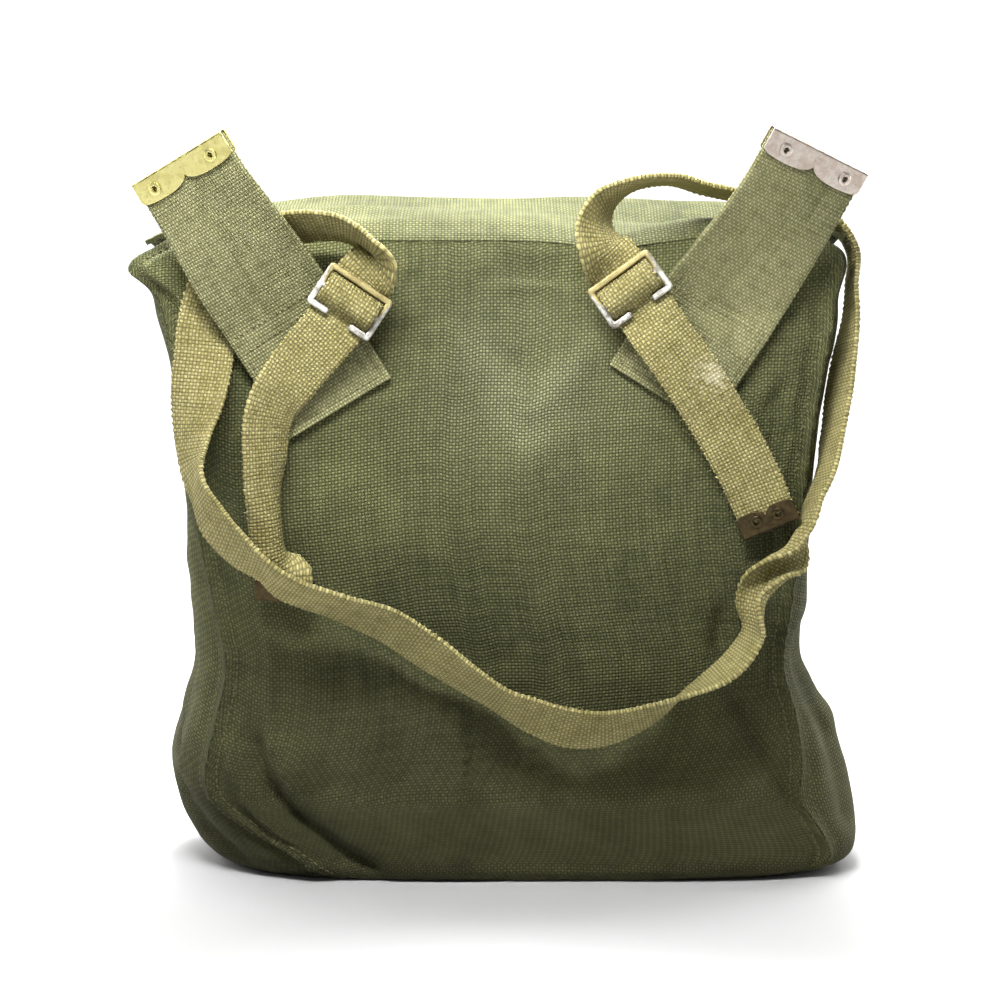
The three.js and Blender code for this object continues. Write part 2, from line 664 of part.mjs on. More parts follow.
function buckle() {
  const round = buckleWire * 0.8;
  const shape = new THREE.Shape();
  const gap = buckleOuter - prongLength;
  const bar = buckleWire / 2;
  const inside = buckleReach - buckleWire;
  shape.moveTo(-gap, -buckleReach);
  shape.lineTo(-gap, -inside);
  shape.lineTo(-buckleInner, -inside);
  shape.lineTo(-buckleInner, -bar);
  shape.lineTo(buckleInner, -bar);
  shape.lineTo(buckleInner, -inside);
  shape.lineTo(gap, -inside);
  shape.lineTo(gap, -buckleReach);
  shape.lineTo(buckleOuter - round, -buckleReach);
  shape.quadraticCurveTo(buckleOuter, -buckleReach, buckleOuter, -buckleReach + round);
  shape.lineTo(buckleOuter, buckleReach - round);
  shape.quadraticCurveTo(buckleOuter, buckleReach, buckleOuter - round, buckleReach);
  shape.lineTo(-buckleOuter + round, buckleReach);
  shape.quadraticCurveTo(-buckleOuter, buckleReach, -buckleOuter, buckleReach - round);
  shape.lineTo(-buckleOuter, -buckleReach + round);
  shape.quadraticCurveTo(-buckleOuter, -buckleReach, -buckleOuter + round, -buckleReach);
  const window = new THREE.Path();
  window.moveTo(-buckleInner, bar);
  window.lineTo(-buckleInner, inside);
  window.lineTo(buckleInner, inside);
  window.lineTo(buckleInner, bar);
  shape.holes.push(window);
  const edge = buckleThick * 0.2;
  const geometry = new THREE.ExtrudeGeometry(shape, {
    depth: buckleThick - 2 * edge,
    bevelThickness: edge,
    bevelSize: edge,
    bevelOffset: -edge,
    bevelSegments: 1,
    curveSegments: 3,
  });
  return geometry.translate(0, 0, edge - buckleThick / 2);
}

// Places of the two buckles: the middle of the centre bar, the direction across (towards the
// strap's outer edge) and the direction from the closed bar to the prongs.
function buckleFrame(row) {
  const centre = new THREE.Vector3(row.x * halfWidth, row.y * halfDepth, row.z * bodyHeight);
  const across = new THREE.Vector3(row.wx, row.wy, row.wz).normalize();
  const facing = new THREE.Vector3(0, -1, row.tilt);
  facing.addScaledVector(across, -facing.dot(across)).normalize();
  const down = across.clone().cross(facing).normalize();
  if (down.z > 0) down.negate();
  return { centre, across, down, facing };
}

const buckleLeft = buckleFrame({ x: -0.45, y: -1.20, z: 0.897, wx: 0.82, wy: 0.05, wz: -0.56, tilt: 0.25 });
const buckleRight = buckleFrame({ x: 0.39, y: -1.16, z: 0.915, wx: -0.81, wy: 0.05, wz: -0.59, tilt: 0.25 });

// The strap's way through a buckle, from behind the closed bar, over the chape on the centre bar
// and under the prongs.
function throughBuckle(frame) {
  const behind = -(buckleThick / 2 + fitGap + strapThick / 2);
  const turn = buckleThick / 2 + fitGap + chapeThick;
  const over = turn + fitGap + strapThick / 2;
  const slip = buckleWire / 2 + buckleWindow - fitGap - strapThick / 2;
  const way = [
    { along: -buckleReach - strapThick, out: behind },
    { along: -slip - strapThick / 2, out: behind },
    { along: -slip * 0.95, out: behind * 0.35 },
    { along: -slip * 0.8, out: over * 0.55 },
    { along: -slip * 0.4, out: over * 0.97 },
    { along: slip * 0.4, out: over * 0.97 },
    { along: slip * 0.8, out: over * 0.55 },
    { along: slip * 0.95, out: behind * 0.35 },
    { along: slip + strapThick / 2, out: behind },
    { along: buckleReach + strapThick, out: behind },
  ];
  return way.map((row) => ({
    centre: frame.centre.clone().addScaledVector(frame.down, row.along).addScaledVector(frame.facing, row.out),
    across: frame.across.clone(),
    over: -1,
    steps: 1,
  }));
}

// Route of the long strap. x is a share of half the width, y of half the depth and z of the height;
// w points from the strap's inner edge to its outer one. over counts the layers of webbing that it
// clears above the bag, and -1 leaves the row where it is.
const leftTail = [
  { x: -0.645, y: -1.165, z: 0.456, wx: 0.88, wy: -0.04, wz: -0.47, over: -1, straight: true },
  { x: -0.630, y: -1.205, z: 0.497, wx: 0.88, wy: -0.04, wz: -0.47, over: -1 },
  { x: -0.672, y: -1.27, z: 0.570, wx: 0.66, wy: 0.74, wz: -0.12, over: 0, cup: 130 },
  { x: -0.700, y: -1.25, z: 0.660, wx: 0.64, wy: 0.76, wz: -0.05, over: 0.3, cup: 30 },
  { x: -0.690, y: -1.24, z: 0.735, wx: 0.74, wy: 0.60, wz: -0.15, over: 1.2 },
  { x: -0.620, y: -1.22, z: 0.790, wx: 0.84, wy: 0.30, wz: -0.40, over: 1.25 },
];
const leftLoop = [
  { x: -0.36, y: -1.16, z: 0.958, wx: 0.60, wy: -0.70, wz: -0.40, over: 0 },
  { x: -0.41, y: -1.14, z: 0.986, wx: 0.32, wy: -0.92, wz: 0.15, over: 0 },
  { x: -0.47, y: -1.12, z: 1.003, wx: 0.11, wy: -0.91, wz: 0.39, over: 0 },
  { x: -0.55, y: -1.09, z: 1.008, wx: 0.05, wy: -0.87, wz: 0.48, over: 0 },
  { x: -0.65, y: -1.04, z: 1.000, wx: -0.10, wy: -0.80, wz: 0.60, over: 0 },
  { x: -0.76, y: -0.90, z: 0.965, wx: -0.50, wy: -0.40, wz: 0.75, over: 0 },
  { x: -0.86, y: -0.88, z: 0.910, wx: -0.86, wy: -0.06, wz: 0.48, over: 0 },
  { x: -0.89, y: -0.92, z: 0.858, wx: -0.94, wy: -0.04, wz: 0.28, over: 0 },
  { x: -0.90, y: -0.97, z: 0.812, wx: -0.98, wy: -0.06, wz: 0.10, over: 0 },
  { x: -0.915, y: -1.06, z: 0.754, wx: -0.94, wy: 0.32, wz: 0.05, over: 0 },
  { x: -0.93, y: -1.12, z: 0.700, wx: -0.70, wy: 0.70, wz: -0.12, over: 0 },
  { x: -0.93, y: -1.18, z: 0.655, wx: -0.48, wy: 0.86, wz: -0.18, over: 0 },
  { x: -0.91, y: -1.28, z: 0.618, wx: -0.35, wy: 0.90, wz: -0.26, over: 0 },
  { x: -0.86, y: -1.38, z: 0.572, wx: -0.47, wy: 0.75, wz: -0.46, over: 0 },
  { x: -0.78, y: -1.47, z: 0.532, wx: -0.35, wy: 0.76, wz: -0.55, over: 0 },
  { x: -0.705, y: -1.51, z: 0.504, wx: -0.22, wy: 0.86, wz: -0.46, over: 0 },
];
const bottomLoop = [
  { x: -0.64, y: -1.51, z: 0.478, wx: -0.34, wy: 0.81, wz: -0.47, over: 0 },
  { x: -0.49, y: -1.44, z: 0.448, wx: -0.32, wy: 0.81, wz: -0.49, over: 0 },
  { x: -0.34, y: -1.37, z: 0.417, wx: -0.28, wy: 0.70, wz: -0.66, over: 0 },
  { x: -0.23, y: -1.38, z: 0.382, wx: -0.30, wy: 0.68, wz: -0.67, over: 0 },
  { x: -0.12, y: -1.36, z: 0.342, wx: -0.28, wy: 0.77, wz: -0.57, over: 0 },
  { x: -0.01, y: -1.35, z: 0.306, wx: -0.18, wy: 0.82, wz: -0.54, over: 0 },
  { x: 0.10, y: -1.37, z: 0.279, wx: -0.14, wy: 0.68, wz: -0.72, over: 0 },
  { x: 0.21, y: -1.39, z: 0.261, wx: -0.05, wy: 0.60, wz: -0.80, over: 0 },
  { x: 0.32, y: -1.37, z: 0.259, wx: 0.04, wy: 0.68, wz: -0.73, over: 0 },
  { x: 0.46, y: -1.33, z: 0.280, wx: 0.11, wy: 0.86, wz: -0.50, over: 0 },
  { x: 0.58, y: -1.29, z: 0.313, wx: 0.00, wy: 0.99, wz: -0.10, over: 0 },
  { x: 0.67, y: -1.26, z: 0.338, wx: -0.12, wy: 0.98, wz: 0.08, over: 0 },
  { x: 0.73, y: -1.24, z: 0.365, wx: -0.22, wy: 0.96, wz: 0.06, over: 0 },
  { x: 0.775, y: -1.21, z: 0.402, wx: -0.26, wy: 0.95, wz: -0.08, over: 0 },
  { x: 0.815, y: -1.18, z: 0.448, wx: -0.42, wy: 0.88, wz: -0.12, over: 0, cup: 90 },
];
const rightLoop = [
  { x: 0.85, y: -1.13, z: 0.490, wx: -0.93, wy: 0.20, wz: 0.25, over: 0, cup: 190 },
  { x: 0.88, y: -1.10, z: 0.525, wx: -0.50, wy: -0.84, wz: 0.20, over: 0.4, cup: 60 },
  { x: 0.92, y: -1.04, z: 0.560, wx: 0.05, wy: -0.98, wz: 0.18, over: 0.5 },
  { x: 0.95, y: -0.96, z: 0.590, wx: 0.20, wy: -0.97, wz: 0.14, over: 0.4 },
  { x: 1.00, y: -0.84, z: 0.640, wx: 0.20, wy: -0.97, wz: 0.06, over: 0 },
  { x: 1.03, y: -0.72, z: 0.697, wx: 0.22, wy: -0.97, wz: 0.10, over: 0 },
  { x: 1.05, y: -0.62, z: 0.752, wx: 0.30, wy: -0.94, wz: 0.14, over: 0 },
  { x: 1.07, y: -0.53, z: 0.810, wx: 0.25, wy: -0.95, wz: 0.18, over: 0 },
  { x: 1.09, y: -0.45, z: 0.864, wx: 0.10, wy: -0.99, wz: 0.08, over: 0 },
  { x: 1.095, y: -0.38, z: 0.915, wx: 0.02, wy: -1.00, wz: 0.08, over: 0.4 },
  { x: 1.10, y: -0.33, z: 0.965, wx: 0.02, wy: -0.99, wz: 0.10, over: 1.2 },
  { x: 1.03, y: -0.33, z: 1.012, wx: 0.00, wy: -0.98, wz: 0.16, over: 1.2 },
  { x: 0.90, y: -0.40, z: 1.030, wx: -0.05, wy: -0.98, wz: 0.16, over: 0 },
  { x: 0.77, y: -0.53, z: 1.046, wx: -0.07, wy: -0.98, wz: 0.18, over: 0 },
  { x: 0.64, y: -0.64, z: 1.060, wx: -0.05, wy: -0.98, wz: 0.18, over: 0 },
  { x: 0.52, y: -0.76, z: 1.074, wx: -0.08, wy: -0.98, wz: 0.15, over: 0 },
  { x: 0.40, y: -0.88, z: 1.066, wx: -0.28, wy: -0.95, wz: 0.10, over: 0 },
  { x: 0.325, y: -0.95, z: 1.043, wx: -0.45, wy: -0.89, wz: 0.05, over: 0 },
  { x: 0.295, y: -1.03, z: 1.012, wx: -0.57, wy: -0.82, wz: -0.05, over: 0 },
  { x: 0.31, y: -1.12, z: 0.975, wx: -0.72, wy: -0.55, wz: -0.38, over: 0 },
];
const rightTail = [
  { x: 0.475, y: -1.20, z: 0.855, wx: -0.78, wy: 0.00, wz: -0.63, over: 2.6 },
  { x: 0.54, y: -1.19, z: 0.812, wx: -0.79, wy: 0.00, wz: -0.61, over: 2.5 },
  { x: 0.615, y: -1.18, z: 0.757, wx: -0.78, wy: 0.02, wz: -0.62, over: 2.1 },
  { x: 0.70, y: -1.15, z: 0.688, wx: -0.81, wy: 0.05, wz: -0.58, over: 0 },
  { x: 0.77, y: -1.11, z: 0.624, wx: -0.80, wy: 0.16, wz: -0.57, over: 0 },
  { x: 0.797, y: -1.09, z: 0.593, wx: -0.78, wy: 0.22, wz: -0.58, over: 0, straight: true },
  { x: 0.83, y: -1.08, z: 0.558, wx: -0.78, wy: 0.22, wz: -0.58, over: 0 },
];

function strapRows() {
  return [
    ...leftTail.map(place),
    ...throughBuckle(buckleLeft).reverse(),
    ...leftLoop.map(place),
    ...bottomLoop.map(place),
    ...rightLoop.map(place),
    ...throughBuckle(buckleRight),
    ...rightTail.map(place),
  ];
}

// Slanting tabs, from the sewn end to the metal one.
const tabRows = {
  left: [
    { x: -0.485, y: -1.00, z: 0.735, wx: 0.873, wy: 0.00, wz: 0.488, over: 0 },
    { x: -0.575, y: -1.00, z: 0.808, wx: 0.873, wy: 0.00, wz: 0.488, over: 0 },
    { x: -0.66, y: -1.03, z: 0.874, wx: 0.87, wy: -0.04, wz: 0.48, over: 1.5 },
    { x: -0.738, y: -1.14, z: 0.935, wx: 0.85, wy: -0.12, wz: 0.46, over: 1.6 },
    { x: -0.81, y: -1.22, z: 0.992, wx: 0.82, wy: -0.30, wz: 0.45, over: 1.4 },
    { x: -0.89, y: -1.25, z: 1.054, wx: 0.79, wy: -0.44, wz: 0.44, over: 0, straight: true },
    { x: -0.952, y: -1.27, z: 1.105, wx: 0.78, wy: -0.45, wz: 0.44, over: 0 },
  ],
  right: [
    { x: 0.485, y: -0.95, z: 0.752, wx: 0.868, wy: 0.00, wz: -0.497, over: 0 },
    { x: 0.57, y: -0.93, z: 0.818, wx: 0.868, wy: 0.00, wz: -0.497, over: 0 },
    { x: 0.655, y: -0.93, z: 0.880, wx: 0.87, wy: 0.06, wz: -0.49, over: 0.3 },
    { x: 0.73, y: -1.05, z: 0.937, wx: 0.85, wy: 0.22, wz: -0.47, over: 0.6 },
    { x: 0.81, y: -1.15, z: 0.998, wx: 0.82, wy: 0.38, wz: -0.43, over: 1 },
    { x: 0.885, y: -1.21, z: 1.060, wx: 0.80, wy: 0.44, wz: -0.40, over: 0, straight: true },
    { x: 0.945, y: -1.25, z: 1.116, wx: 0.80, wy: 0.44, wz: -0.40, over: 0 },
  ],
};

// Closing straps on the front, from the flap down over their buckles. x is a share of half their
// spacing, y of half the depth and z of the height.
const closingRows = [
  { x: 1, y: 0.90, z: 0.600, wx: 1, wy: 0, wz: 0, over: 0 },
  { x: 1, y: 0.90, z: 0.420, wx: 1, wy: 0, wz: 0, over: 0 },
  { x: 1, y: 0.90, z: 0.370, wx: 1, wy: 0, wz: 0, over: 0 },
  { x: 1, y: 0.90, z: 0.300, wx: 1, wy: 0, wz: 0, over: 0 },
  { x: 1, y: 0.90, z: 0.200, wx: 1, wy: 0, wz: 0, over: 0 },
];
const closingBuckleUp = 0.30;

function closingStrap(sign) {
  const rows = closingRows.map((row) => {
    const placed = place(row);
    placed.centre.x = (sign * row.x * closingStrapSpacing) / 2;
    return placed;
  });
  return band(rows, { wide: strapWidth, thick: strapThick, steps: 2, columns: 2 });
}

// Plain rectangular buckle lying on the closing strap.
function closingBuckle() {
  const shape = new THREE.Shape();
  shape.moveTo(-buckleOuter, -buckleReach);
  shape.lineTo(buckleOuter, -buckleReach);
  shape.lineTo(buckleOuter, buckleReach);
  shape.lineTo(-buckleOuter, buckleReach);
  const inside = buckleReach - buckleWire;
  const window = new THREE.Path();
  window.moveTo(-buckleInner, -inside);
  window.lineTo(-buckleInner, inside);
  window.lineTo(buckleInner, inside);
  window.lineTo(buckleInner, -inside);
  shape.holes.push(window);
  return new THREE.ExtrudeGeometry(shape, { depth: buckleThick, bevelEnabled: false });
}

// Chapes: a turn round the centre bar, then the way back to the body. along and out are in the
// buckle's own frame, as shares of its half length and of its thickness.
const chapeRows = {
  left: {
    turnSign: 1,
    lead: [{ along: -0.5, out: -2.1 }, { along: -0.98, out: -2.75 }],
    away: [
      { x: -0.411, y: -0.96, z: 0.930, wx: 0.82, wy: 0.05, wz: -0.56, over: -1 },
      { x: -0.418, y: -0.90, z: 0.925, wx: 0.82, wy: 0.05, wz: -0.56, over: 0 },
      { x: -0.434, y: -0.88, z: 0.910, wx: 0.82, wy: 0.05, wz: -0.56, over: 0 },
      { x: -0.453, y: -0.88, z: 0.892, wx: 0.82, wy: 0.05, wz: -0.56, over: 0 },
    ],
  },
  right: {
    turnSign: -1,
    lead: [{ along: 0.45, out: -2.2 }, { along: 0.95, out: -2.7 }],
    away: [
      { x: 0.465, y: -0.98, z: 0.862, wx: -0.81, wy: 0.05, wz: -0.59, over: 1.4 },
      { x: 0.500, y: -0.96, z: 0.838, wx: -0.81, wy: 0.05, wz: -0.59, over: 1.3 },
    ],
  },
};

function chape(frame, rows) {
  const radius = buckleThick / 2 + fitGap + chapeThick / 2;
  const local = (along, out) => ({
    centre: frame.centre.clone().addScaledVector(frame.down, along).addScaledVector(frame.facing, out),
    across: frame.across.clone(),
    over: -1,
    steps: 1,
  });
  const wrap = [-50, 0, 45, 90, 135, 180, 225].map((degrees) => {
    const turn = THREE.MathUtils.degToRad(degrees);
    return local(rows.turnSign * radius * 1.12 * Math.cos(turn), radius * Math.sin(turn));
  });
  const lead = rows.lead.map((row) => local(row.along * buckleReach, row.out * buckleThick));
  const wide = strapWidth - 2 * fitGap;
  const list = [...wrap, ...lead, ...rows.away.map(place)];
  if (rows.turnSign > 0) list.reverse();
  return band(list, { wide, thick: chapeThick, steps: 2, columns: 2 });
}

// Scene graph
const haversack = new THREE.Group();

function add(name, geometry, material, parent = haversack) {
  const mesh = new THREE.Mesh(geometry, material);
  mesh.name = name;
  parent.add(mesh);
  return mesh;
}

add('back_panel', panel('backLeft', 'backRight', 18, wallRows), canvasGreen);
add('front_panel', panel('frontRight', 'frontLeft', 10, wallRows), canvasGreen);
add('gusset_left', panel('frontLeft', 'backLeft', 8, wallRows), canvasGreen);
add('gusset_right', panel('backRight', 'frontRight', 8, wallRows), canvasGreen);
add('base_panel', basePanel(), canvasGreen);
add('lid_flap', lidFlap(), canvasGreen);

function addTip(side, kind, frame, wide, thick, depth, spacing, material) {
  const group = new THREE.Group();
  frame.decompose(group.position, group.quaternion, group.scale);
  haversack.add(group);
  add(`${kind}_${side}`, foldedTip(wide, thick, depth, spacing), material, group);
  const labels = ['inner', 'outer'];
  eyeletPlaces(spacing, depth).forEach((spot, i) => {
    const name = `${kind.split('_')[0]}_eyelet_${side}_${labels[i]}`;
    add(name, eyelet(thick), material, group).position.copy(spot);
  });
}

for (const side of ['left', 'right']) {
  const rows = tabRows[side].map(place);
  const frame = endFrame(rows, false);
  let tab = toSolid(band(rows, { wide: tabWidth, thick: tabThick, steps: 2, columns: 5 }));
  for (const bore of eyeletBores(tabEyeletSpacing, tabEndDepth, tabWidth)) {
    tab = tab.subtract(toSolid(bore.applyMatrix4(frame)));
  }
  add(`tab_${side}`, toGeometry(tab), webbingGreen);
  const material = side === 'left' ? brass : paleBrass;
  addTip(side, 'tab_end', frame, tabWidth, tabThick, tabEndDepth, tabEyeletSpacing, material);
}

const route = strapRows();
const tipFrames = { left: endFrame(route, true), right: endFrame(route, false) };
let strap = toSolid(band(route, { wide: strapWidth, thick: strapThick, steps: 2, columns: 2 }));
for (const side of ['left', 'right']) {
  for (const bore of eyeletBores(strapEyeletSpacing, strapTipDepth, strapWidth)) {
    strap = strap.subtract(toSolid(bore.applyMatrix4(tipFrames[side])));
  }
  addTip(side, 'strap_tip', tipFrames[side], strapWidth, strapThick, strapTipDepth, strapEyeletSpacing, darkBrass);
}
add('carrying_strap', toGeometry(strap), khaki);

for (const [side, frame] of [['left', buckleLeft], ['right', buckleRight]]) {
  const mesh = add(`buckle_${side}`, buckle(), wornMetal);
  const right = frame.down.clone().negate().cross(frame.facing).normalize();
  mesh.quaternion.setFromRotationMatrix(
    new THREE.Matrix4().makeBasis(right, frame.down.clone().negate(), frame.facing),
  );
  mesh.position.copy(frame.centre);
  add(`buckle_chape_${side}`, chape(frame, chapeRows[side]), webbingGreen);
}

for (const [side, sign] of [['left', -1], ['right', 1]]) {
  add(`closing_strap_${side}`, closingStrap(sign), webbingGreen);
  const around = aroundAt((sign * closingStrapSpacing) / 2, closingBuckleUp, 1);
  const normal = wallNormal(around, closingBuckleUp);
  const across = new THREE.Vector3(-1, 0, 0).cross(normal).cross(normal).normalize().negate();
  const rise = normal.clone().cross(across).normalize();
  const mesh = add(`closing_buckle_${side}`, closingBuckle(), wornMetal);
  mesh.quaternion.setFromRotationMatrix(new THREE.Matrix4().makeBasis(across, rise, normal));
  mesh.position.copy(wall(around, closingBuckleUp, layer + softGap));
}

export default haversack;
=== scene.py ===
# Canvas haversack seen from its back panel, standing stuffed on a pale floor
import math
import random

import bmesh
import bpy
import numpy as np
from mathutils import Matrix, Vector


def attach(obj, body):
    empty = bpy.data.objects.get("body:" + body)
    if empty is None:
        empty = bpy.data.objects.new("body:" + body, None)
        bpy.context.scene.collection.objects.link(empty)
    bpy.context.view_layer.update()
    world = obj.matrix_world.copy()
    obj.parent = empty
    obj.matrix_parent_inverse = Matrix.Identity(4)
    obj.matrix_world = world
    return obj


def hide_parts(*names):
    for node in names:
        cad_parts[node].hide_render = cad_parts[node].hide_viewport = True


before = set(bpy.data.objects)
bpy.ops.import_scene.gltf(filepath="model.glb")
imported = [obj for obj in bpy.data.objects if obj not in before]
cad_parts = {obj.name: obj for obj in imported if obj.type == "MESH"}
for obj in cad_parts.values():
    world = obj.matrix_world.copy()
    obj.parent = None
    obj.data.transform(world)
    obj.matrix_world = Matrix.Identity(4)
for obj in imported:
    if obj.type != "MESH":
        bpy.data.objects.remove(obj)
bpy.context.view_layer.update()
mm = 0.001
dice = random.Random(37)
noiseDice = np.random.default_rng(37)

# main sizes, in millimetres, as in the solid model
bag = dict(
    width=280.0, height=284.0, depth=104.0, canvas=2.0, seamRidge=1.6, seamGap=0.7, lidGap=2.1,
    softGap=0.7, tabWidth=50.8, tabThick=2.4, strapWidth=25.4, strapThick=2.1, chapeThick=1.6,
    sheetBrass=0.8, fitGap=0.3, tabEndDepth=10.5, strapTipDepth=9.5, eyeletBore=2.4, eyeletWall=0.5,
    eyeletFlange=1.1, tabEyelets=32.0, strapEyelets=10.0, wire=2.6, buckleThick=2.4, window=6.2,
    prong=10.0, closingSpacing=150.0,
)
halfWidth = bag["width"] / 2
halfDepth = bag["depth"] / 2
height = bag["height"]
layer = bag["strapThick"] + bag["softGap"]
lidLift = bag["canvas"] + bag["seamRidge"] + bag["lidGap"]

# camera, at the photograph's height and distance
view = dict(place=(0.0, -1.0893, 0.3151), target=(0.0, 0.0, 0.162), lens=88.06, sensor=36.0, near=0.05)


def placeCamera():
    lens = bpy.data.cameras.new("camera")
    lens.lens = view["lens"]
    lens.sensor_width = view["sensor"]
    lens.clip_start = view["near"]
    camera = bpy.data.objects.new("camera", lens)
    camera.location = view["place"]
    aim = Vector(view["target"]) - Vector(view["place"])
    camera.rotation_euler = aim.to_track_quat("-Z", "Y").to_euler()
    bpy.context.scene.collection.objects.link(camera)
    bpy.context.scene.camera = camera


placeCamera()
print("camera placed")

# the body's sections and seams, with the same shares as the solid model
sectionNames = ("up", "left", "right", "back", "front", "sharpLeft", "sharpRight")
sections = np.array([
    (0.000, 0.86, 1.02, 0.92, 0.92, 3.2, 4.5), (0.014, 0.92, 1.11, 0.99, 0.98, 3.2, 4.6),
    (0.042, 0.98, 1.145, 1.03, 1.02, 3.2, 4.6), (0.100, 1.035, 1.135, 1.06, 1.05, 3.4, 4.2),
    (0.170, 1.065, 1.105, 1.07, 1.06, 3.6, 3.8), (0.250, 1.03, 1.05, 1.08, 1.06, 3.8, 3.6),
    (0.340, 0.985, 0.97, 1.08, 1.05, 3.8, 3.8), (0.440, 0.98, 0.975, 1.07, 1.04, 4.0, 4.2),
    (0.560, 1.00, 0.99, 1.05, 1.02, 4.4, 4.8), (0.680, 1.01, 1.01, 1.01, 1.00, 5.0, 5.4),
    (0.790, 1.03, 1.035, 0.96, 0.99, 6.0, 6.2), (0.880, 1.07, 1.065, 0.89, 0.98, 7.0, 7.0),
    (0.945, 1.08, 1.06, 0.82, 0.96, 7.0, 7.0), (0.980, 1.06, 1.04, 0.76, 0.90, 6.0, 6.0),
    (1.000, 1.02, 1.00, 0.70, 0.80, 5.0, 5.0),
])
seamNames = ("up", "backLeft", "backRight", "frontLeft", "frontRight")
seams = np.array([
    (0.000, 0.60, 0.90, 0.75, 0.85), (0.040, 0.63, 0.90, 0.76, 0.85), (0.085, 0.76, 0.87, 0.80, 0.86),
    (0.130, 0.85, 0.84, 0.84, 0.86), (0.200, 0.855, 0.86, 0.86, 0.87), (0.340, 0.855, 0.90, 0.88, 0.89),
    (0.450, 0.90, 0.92, 0.90, 0.90), (0.600, 0.93, 0.93, 0.91, 0.91), (0.930, 0.95, 0.95, 0.92, 0.92),
    (1.000, 0.92, 0.92, 0.90, 0.90),
])
sideMiddle = dict(right=0.5, front=1.5, left=2.5, back=3.5)
sideHalf = dict(right=halfDepth, front=halfWidth, left=halfDepth, back=halfWidth)
# side, across, up, to across, to up, wide (of half the width), lift (of half the depth)
mainFolds = [
    ("back", -0.83, 0.43, -0.78, 0.36, 0.04, 0.03), ("back", -0.86, 0.225, -0.74, 0.14, 0.05, -0.06),
    ("back", -0.74, 0.14, -0.44, 0.01, 0.05, -0.06), ("back", -0.95, 0.20, -0.62, 0.03, 0.05, 0.04),
    ("back", 0.90, 0.76, 0.89, 0.52, 0.05, -0.06), ("back", 0.76, 0.40, 0.95, 0.12, 0.08, -0.05),
    ("back", 0.02, 0.965, 0.27, 0.955, 0.03, -0.03), ("back", -0.30, 0.62, -0.16, 0.40, 0.16, -0.03),
    ("back", 0.06, 0.60, 0.14, 0.34, 0.22, 0.05), ("back", 0.10, 0.00, 0.24, 0.03, 0.16, -0.03),
    ("left", 0.35, 0.33, 0.25, 0.20, 0.06, -0.10), ("left", 0.25, 0.20, 0.80, 0.04, 0.05, -0.08),
    ("left", 0.10, 0.95, 0.00, 0.60, 0.14, -0.14), ("right", -0.30, 0.90, -0.10, 0.55, 0.12, -0.14),
    ("right", -0.45, 0.36, -0.60, 0.10, 0.07, -0.10), ("front", -0.10, 0.32, 0.10, 0.10, 0.14, -0.05),
]
# smaller creases that only the cloth itself shows
smallFolds = [
    ("back", 0.04, 0.948, 0.24, 0.942, 0.018, -0.030), ("back", -0.02, 0.928, 0.16, 0.936, 0.020, 0.018),
    ("back", -0.10, 0.84, 0.07, 0.745, 0.05, 0.030), ("back", 0.30, 0.86, 0.11, 0.745, 0.05, 0.030),
    ("back", 0.09, 0.90, 0.09, 0.82, 0.06, -0.025),
    ("back", 0.45, 0.58, 0.30, 0.50, 0.06, -0.012), ("back", -0.42, 0.52, -0.30, 0.44, 0.05, 0.010),
    ("back", -0.88, 0.13, -0.50, -0.02, 0.022, 0.016), ("back", -0.70, 0.20, -0.56, 0.10, 0.03, -0.012),
    ("back", 0.84, 0.74, 0.80, 0.58, 0.028, -0.030), ("back", 0.97, 0.70, 0.94, 0.50, 0.025, -0.030),
    ("back", -0.80, 0.36, -0.74, 0.22, 0.035, 0.020), ("back", -0.25, 0.88, -0.10, 0.80, 0.06, 0.008),
    ("back", -0.79, 0.22, -0.66, 0.10, 0.026, -0.05), ("back", -0.66, 0.10, -0.44, 0.02, 0.026, -0.05),
    ("back", 0.74, 0.42, 0.80, 0.28, 0.03, -0.03), ("back", 0.80, 0.28, 0.93, 0.12, 0.03, -0.035),
    ("back", -0.55, 0.66, -0.70, 0.45, 0.04, -0.02), ("back", 0.50, 0.90, 0.72, 0.70, 0.05, -0.015),
    ("left", 0.55, 0.28, 0.45, 0.12, 0.03, -0.04), ("left", -0.10, 0.70, 0.15, 0.40, 0.05, -0.04),
    ("left", -0.40, 0.36, -0.10, 0.12, 0.04, 0.03), ("right", 0.30, 0.60, 0.05, 0.30, 0.05, -0.04),
    ("right", -0.70, 0.80, -0.55, 0.58, 0.03, -0.04), ("front", -0.55, 0.24, -0.30, 0.08, 0.04, -0.015),
    ("front", 0.62, 0.22, 0.40, 0.06, 0.04, 0.012), ("front", 0.35, 0.34, 0.50, 0.20, 0.05, -0.012),
]
# side, across, up, tall, wide, lift
ears = [("back", -1.00, 0.945, 0.045, 0.12, 0.16), ("back", 1.00, 0.965, 0.04, 0.10, 0.06)]
# the top from back to front: out is a share of half the depth, up of the height
topPath = np.array([
    (-0.70, 0.985), (-0.58, 1.006), (-0.42, 1.013), (-0.20, 1.008), (0.04, 1.002), (0.30, 1.012),
    (0.56, 1.024), (0.80, 1.015),
])
# across, out, wide, long, lift
topFolds = [
    (0.36, -0.50, 0.16, 0.28, -0.022), (0.60, -0.05, 0.28, 0.26, -0.020), (0.62, -0.52, 0.20, 0.22, 0.010),
    (-0.45, 0.05, 0.40, 0.40, 0.008),
]
topDrop = 0.032
# the lid: reach to both sides, then up and width down the front
lidSide = dict(left=1.075, right=1.045)
curtain = np.array([
    (0.975, 0.940), (0.930, 0.910), (0.840, 0.890), (0.720, 0.870), (0.600, 0.860), (0.500, 0.850),
    (0.430, 0.845),
])
hemUp = curtain[-1][0]


